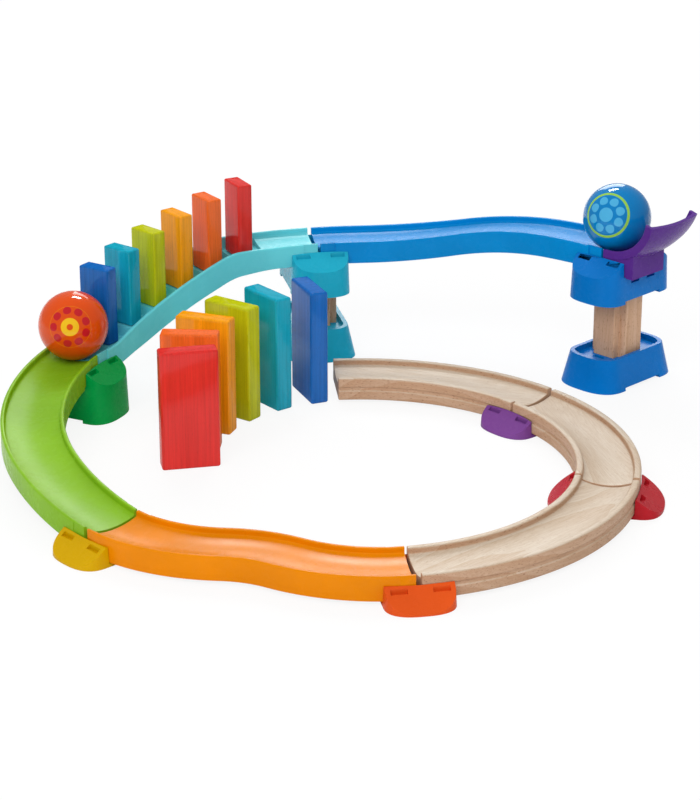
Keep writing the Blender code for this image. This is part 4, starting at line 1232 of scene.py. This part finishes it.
class BALLTRACK_OT_towers(bpy.types.Operator):
    """Make the bases, posts and saddles of both towers"""

    bl_idname = "balltrack.towers"
    bl_label = "Towers"

    def execute(self, context):
        sizes, colours, _ = settings()
        towers = (("start", "blue", 0.0, RAIL_START), ("middle", "teal", MIDDLE_SEAM, RAIL_MIDDLE))
        for index, (name, colour, seam, rail_top) in enumerate(towers):
            point, heading = ROUTE.pose(seam)
            plastic = moulded_plastic("moulded_" + colour, getattr(colours, colour))
            base = tower_base(name + "_base_finish", point, heading)
            soften(base, sizes.edge)
            even_out(base, MOULD_SMOOTH)
            hand_over(base, plastic, "track", colour + "_plastic", name + "_base")
            saddle_bottom = rail_top - SADDLE_DEPTH
            socket_top = rail_top - PLATE_UNDER_RAIL - SHELL_WALL
            post = prism(post_outline(0.0), post_outline(0.0), BASE_SOLE + FIT, socket_top - FIT)
            post = object_from(name + "_post_finish", placed(post, point, heading))
            soften(post, POST_EDGE, 3)
            even_out(post, MOULD_SMOOTH)
            # The posts' flanks get a lighter colour, painted light that offsets the shade under the saddles.
            board = bare_beech(f"beech_post_{index + 1}", colours,
                               (math.radians(2.0), math.radians(-91.5), heading),
                               (point.x + 0.021, point.y + 0.009, 0.0), 30.0, colours.beech_post)
            hand_over(post, board, "track", "beech", name + "_post")
            socket = prism(post_outline(FIT), post_outline(FIT), saddle_bottom - SHELL_WALL, socket_top)
            extra = [socket, arch_tool(saddle_bottom)]
            saddle = connector(name + "_saddle_finish", seam, rail_top, saddle_bottom, extra)
            soften(saddle, sizes.edge)
            if name == "start":
                carve(saddle, [placed(hook_slot_tool(), point, heading)])
            even_out(saddle, MOULD_SMOOTH)
            hand_over(saddle, plastic, "track", colour + "_plastic", name + "_saddle")
        return {"FINISHED"}


def ramp_ring(sizes, distance):
    """Section of the ramp at a distance on its floor line, square to that line."""
    deep = CHANNEL + SAG
    turn = max(0.0, (distance - RAMP_LEVEL) / RAMP_RADIUS)
    along = min(distance, RAMP_LEVEL) + RAMP_RADIUS * math.sin(turn)
    rise = RAMP_RADIUS * (1.0 - math.cos(turn)) - deep
    half = HALF_TRACK + RAMP_FLARE * (turn / math.radians(RAMP_TURN)) ** 2
    inner = half - PLASTIC_WALL
    foot = CHANNEL + PLASTIC_FLOOR
    wall = [(half, -foot, RAMP_EDGE), (half, 0.0, sizes.rail_round), (inner, 0.0, sizes.rail_round)]
    floor = sagging(inner, CHANNEL, SAG, sizes.foot_round)
    under = sagging(half, foot, SAG, RAMP_EDGE)[-2:0:-1]
    ring = []
    for offset, drop in rounded(wall + floor + mirrored(wall) + under):
        up = drop + deep
        ring.append(Vector((up * math.sin(turn) - along, offset, RAIL_START + rise + up * math.cos(turn))))
    return ring


def ramp_floor(along):
    """Height of the ramp's floor line at a plan distance from the seam."""
    turn = math.asin(max(0.0, along - RAMP_LEVEL) / RAMP_RADIUS)
    return RAIL_START - CHANNEL - SAG + RAMP_RADIUS * (1.0 - math.cos(turn))


def block_ring(along, low):
    """Outline of the ramp's hook block across the ramp; its top lies inside the scoop."""
    far = HALF_TRACK - FIT
    top = ramp_floor(along) - RAMP_BITE
    outline = [(-RAMP_BLOCK_FAR, low), (far, low), (far, top + RAMP_BLOCK_RISE)]
    outline += [(RAMP_BLOCK_BEND, top), (-RAMP_BLOCK_FAR, top)]
    return [Vector((-along, across, height)) for across, height in outline]


class BALLTRACK_OT_launch_ramp(bpy.types.Operator):
    """Make the purple ramp on the start tower"""

    bl_idname = "balltrack.launch_ramp"
    bl_label = "Launch ramp"

    def execute(self, context):
        sizes, colours, _ = settings()
        point, heading = ROUTE.pose(0.0)
        bent = RAMP_RADIUS * math.radians(RAMP_TURN)
        begin = SEAM_GAP / 2.0
        marks = [begin] + [RAMP_LEVEL + bent * index / RAMP_STEPS for index in range(RAMP_STEPS + 1)]
        body = loft([ramp_ring(sizes, mark) for mark in marks])
        scoop = object_from("launch_ramp_finish", placed(body, point, heading))
        inner = HALF_TRACK - PLASTIC_WALL
        side = HALF_TRACK - FIT
        seat = RAIL_START - PLATE_UNDER_RAIL + FIT
        under = RAIL_START - RAMP_SKIRT_DROP
        flank = BOSS_HALF_LENGTH + BOSS_DRAFT + FIT
        skirts = boxes([((-flank - FIT, inner + FIT, seat), (-begin - FIT, side, under)),
                        ((-flank - FIT, -side, seat), (-begin - FIT, -inner - FIT, under))])
        low = RAIL_START - RAMP_BLOCK_DROP
        block = loft([block_ring(flank, low), block_ring(flank + RAMP_BLOCK_THICK, low)])
        carve(scoop, [placed(skirts, point, heading), placed(block, point, heading)], "UNION")
        soften(scoop, sizes.edge, 2, 50.0)
        even_out(scoop, TRACK_SMOOTH)
        material = moulded_plastic("moulded_purple", colours.purple)
        hand_over(scoop, material, "track", "purple_plastic", "launch_ramp")
        return {"FINISHED"}


# Balls and dominoes

class BALLTRACK_OT_balls(bpy.types.Operator):
    """Make the two printed balls"""

    bl_idname = "balltrack.balls"
    bl_label = "Balls"

    def execute(self, context):
        sizes, colours, _ = settings()
        looks = {
            "blue_ball": ((math.radians(70.0), 0.0, math.radians(-27.0)),
                          (colours.ball_blue, colours.ball_blue_print, colours.ball_blue_ring),
                          {"Ring_angle": 0.67, "Ring_half": 0.04, "Dots": 8.0, "Orbit_angle": 0.44,
                           "Dot_angle": 0.13, "Disc_angle": 0.21, "Hole_angle": 0.0}),
            "orange_ball": ((math.radians(73.0), 0.0, math.radians(1.0)),
                            (colours.ball_orange, colours.ball_orange_print, colours.ball_orange_ring),
                            {"Ring_angle": 0.62, "Ring_half": 0.0, "Dots": 9.0, "Orbit_angle": 0.50,
                             "Dot_angle": 0.12, "Disc_angle": 0.26, "Hole_angle": 0.09}),
        }
        for node, (turn, paints, masks) in looks.items():
            low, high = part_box(node)
            center = (low + high) / 2.0
            bm = bmesh.new()
            bmesh.ops.create_uvsphere(bm, u_segments=sizes.ball_segments, v_segments=sizes.ball_segments // 2,
                                      radius=(high.z - low.z) / 2.0)
            bmesh.ops.translate(bm, vec=center, verts=bm.verts[:])
            piece = object_from(node + "_finish", bm)
            fix_order(piece.data)
            smooth(piece, BALL_SMOOTH)
            material = printed_ball(node + "_finish", center, turn, paints, masks)
            hand_over(piece, material, node, node, node)
        return {"FINISHED"}


class BALLTRACK_OT_dominoes(bpy.types.Operator):
    """Make the small dominoes on the stairs and the large ones on the floor"""

    bl_idname = "balltrack.dominoes"
    bl_label = "Dominoes"

    def execute(self, context):
        sizes, colours, _ = settings()
        kinds = (("small", sizes.small_domino, 0.7, 0.0), ("large", sizes.large_domino, 1.0, 0.9))
        for kind, size, round_share, board in kinds:
            for index, colour in enumerate(ROW_COLOURS):
                node = f"{kind}_domino_{colour}"
                axis = JOINTS[node]["axis"]
                heading = math.atan2(-axis[0], axis[1])
                ahead = Vector((math.cos(heading), math.sin(heading), 0.0))
                foot = Vector(JOINTS[node]["pos_m"])
                center = foot - ahead * size[0] / 2.0 + Vector((0.0, 0.0, size[2] / 2.0))
                shift = (0.041 * index, 0.023 * (index % 3) - 0.02, 0.3 * index + board)
                material = stained_wood("stained_" + colour, getattr(colours, colour + "_paint"))
                piece = add_object(node + "_finish", bpy.data.meshes.new(node))
                inputs = {"Size": tuple(size), "Center": tuple(center), "Grain shift": shift,
                          "Rounding": sizes.domino_round * round_share, "Heading": heading,
                          "Finish": material}
                grow(piece, made_once("domino_block", domino_tree), **inputs)
                piece.data.shade_smooth()
                hand_over(piece, material, node, colour + "_paint", node)
        return {"FINISHED"}


# Studio

def area_light(name, power, size, place, target):
    lamp = bpy.data.lights.new(name, "AREA")
    lamp.energy = power
    lamp.shape = "RECTANGLE"
    lamp.size, lamp.size_y = size
    holder = bpy.data.objects.new(name, lamp)
    holder.location = place
    holder.rotation_euler = (Vector(target) - Vector(place)).to_track_quat("-Z", "Y").to_euler()
    bpy.context.scene.collection.objects.link(holder)
    return holder


def white_world(ambient):
    """Even white surroundings; the floor fills the picture, so the camera doesn't see them."""
    world = bpy.data.worlds.new("white_studio")
    bpy.context.scene.world = world
    world.use_nodes = True
    background = world.node_tree.nodes["Background"]
    finish(world.node_tree, background, Color=(1.0, 1.0, 1.0), Strength=ambient)


def floor_material(white):
    """White paper: mostly even white to the camera, with a soft shadow left in."""
    material, tree, surface = blank_material("studio_floor")
    finish(tree, surface, Base_Color=(0.95, 0.95, 0.95), Roughness=0.9, Specular_IOR_Level=0.0)
    glow = add_node(tree, "ShaderNodeEmission", [("Color", (1.0, 1.0, 1.0))])
    seen = add_node(tree, "ShaderNodeLightPath").outputs["Is Camera Ray"]
    links = [("Fac", maths(tree, "MULTIPLY", seen, white)), (1, surface.outputs["BSDF"]),
             (2, glow.outputs["Emission"])]
    both = add_node(tree, "ShaderNodeMixShader", links)
    finish(tree, tree.nodes["Material Output"], Surface=both.outputs["Shader"])
    return material


class BALLTRACK_OT_studio(bpy.types.Operator):
    """Make the floor, the white surroundings, the lights and the camera"""

    bl_idname = "balltrack.studio"
    bl_label = "Studio"

    def execute(self, context):
        _, _, studio = settings()
        white_world(studio.ambient)
        half = studio.floor_size / 2.0
        slab = boxes([((-half, -half, -FLOOR_THICK), (half, half, -FLOOR_DROP))])
        floor = object_from("studio_floor", slab)
        floor.data.materials.append(floor_material(studio.floor_white))
        area_light("front_fill", studio.key, *FILL_LIGHT).visible_glossy = False
        area_light("rear_softbox", studio.rear, *REAR_LIGHT).visible_glossy = False
        area_light("rear_strip", studio.sheen, *STRIP_LIGHT).visible_diffuse = False
        area_light("rear_panel", studio.panel, *PANEL_LIGHT).visible_diffuse = False
        lens = bpy.data.cameras.new("photo_camera")
        lens.lens = CAMERA_LENS
        lens.sensor_width = 36.0
        lens.sensor_fit = "AUTO"
        lens.clip_start = 0.01
        lens.clip_end = 100.0
        camera = bpy.data.objects.new("photo_camera", lens)
        camera.location = CAMERA_PLACE + PLAN_SHIFT.to_3d()
        camera.rotation_euler = (math.radians(90.0 - CAMERA_DOWN), 0.0, 0.0)
        context.scene.collection.objects.link(camera)
        context.scene.camera = camera
        context.scene.view_settings.view_transform = "Standard"
        return {"FINISHED"}


class BALLTRACK_PT_panel(bpy.types.Panel):
    """Lists the toy's pieces and their settings"""

    bl_idname = "BALLTRACK_PT_panel"
    bl_label = "Ball track"
    bl_space_type = "VIEW_3D"
    bl_region_type = "UI"
    bl_category = "Ball track"

    def draw(self, context):
        for operator in OPERATORS:
            self.layout.operator(operator.bl_idname)
        for group in settings():
            box = self.layout.box()
            for name in group.__annotations__:
                box.prop(group, name)


GROUPS = (ToySizes, ToyColours, StudioSettings)
OPERATORS = (BALLTRACK_OT_studio, BALLTRACK_OT_moulded_tracks, BALLTRACK_OT_stair_track,
             BALLTRACK_OT_wooden_curves, BALLTRACK_OT_connectors, BALLTRACK_OT_towers,
             BALLTRACK_OT_launch_ramp, BALLTRACK_OT_balls, BALLTRACK_OT_dominoes)


def register():
    for item in GROUPS + OPERATORS + (BALLTRACK_PT_panel,):
        bpy.utils.register_class(item)
    bpy.types.Scene.balltrack_sizes = PointerProperty(type=ToySizes)
    bpy.types.Scene.balltrack_colours = PointerProperty(type=ToyColours)
    bpy.types.Scene.balltrack_studio = PointerProperty(type=StudioSettings)


def unregister():
    del bpy.types.Scene.balltrack_studio
    del bpy.types.Scene.balltrack_colours
    del bpy.types.Scene.balltrack_sizes
    for item in reversed(GROUPS + OPERATORS + (BALLTRACK_PT_panel,)):
        bpy.utils.unregister_class(item)


def main():
    register()
    for operator in OPERATORS:
        group, name = operator.bl_idname.split(".")
        getattr(getattr(bpy.ops, group), name)()


if __name__ == "__main__":
    main()
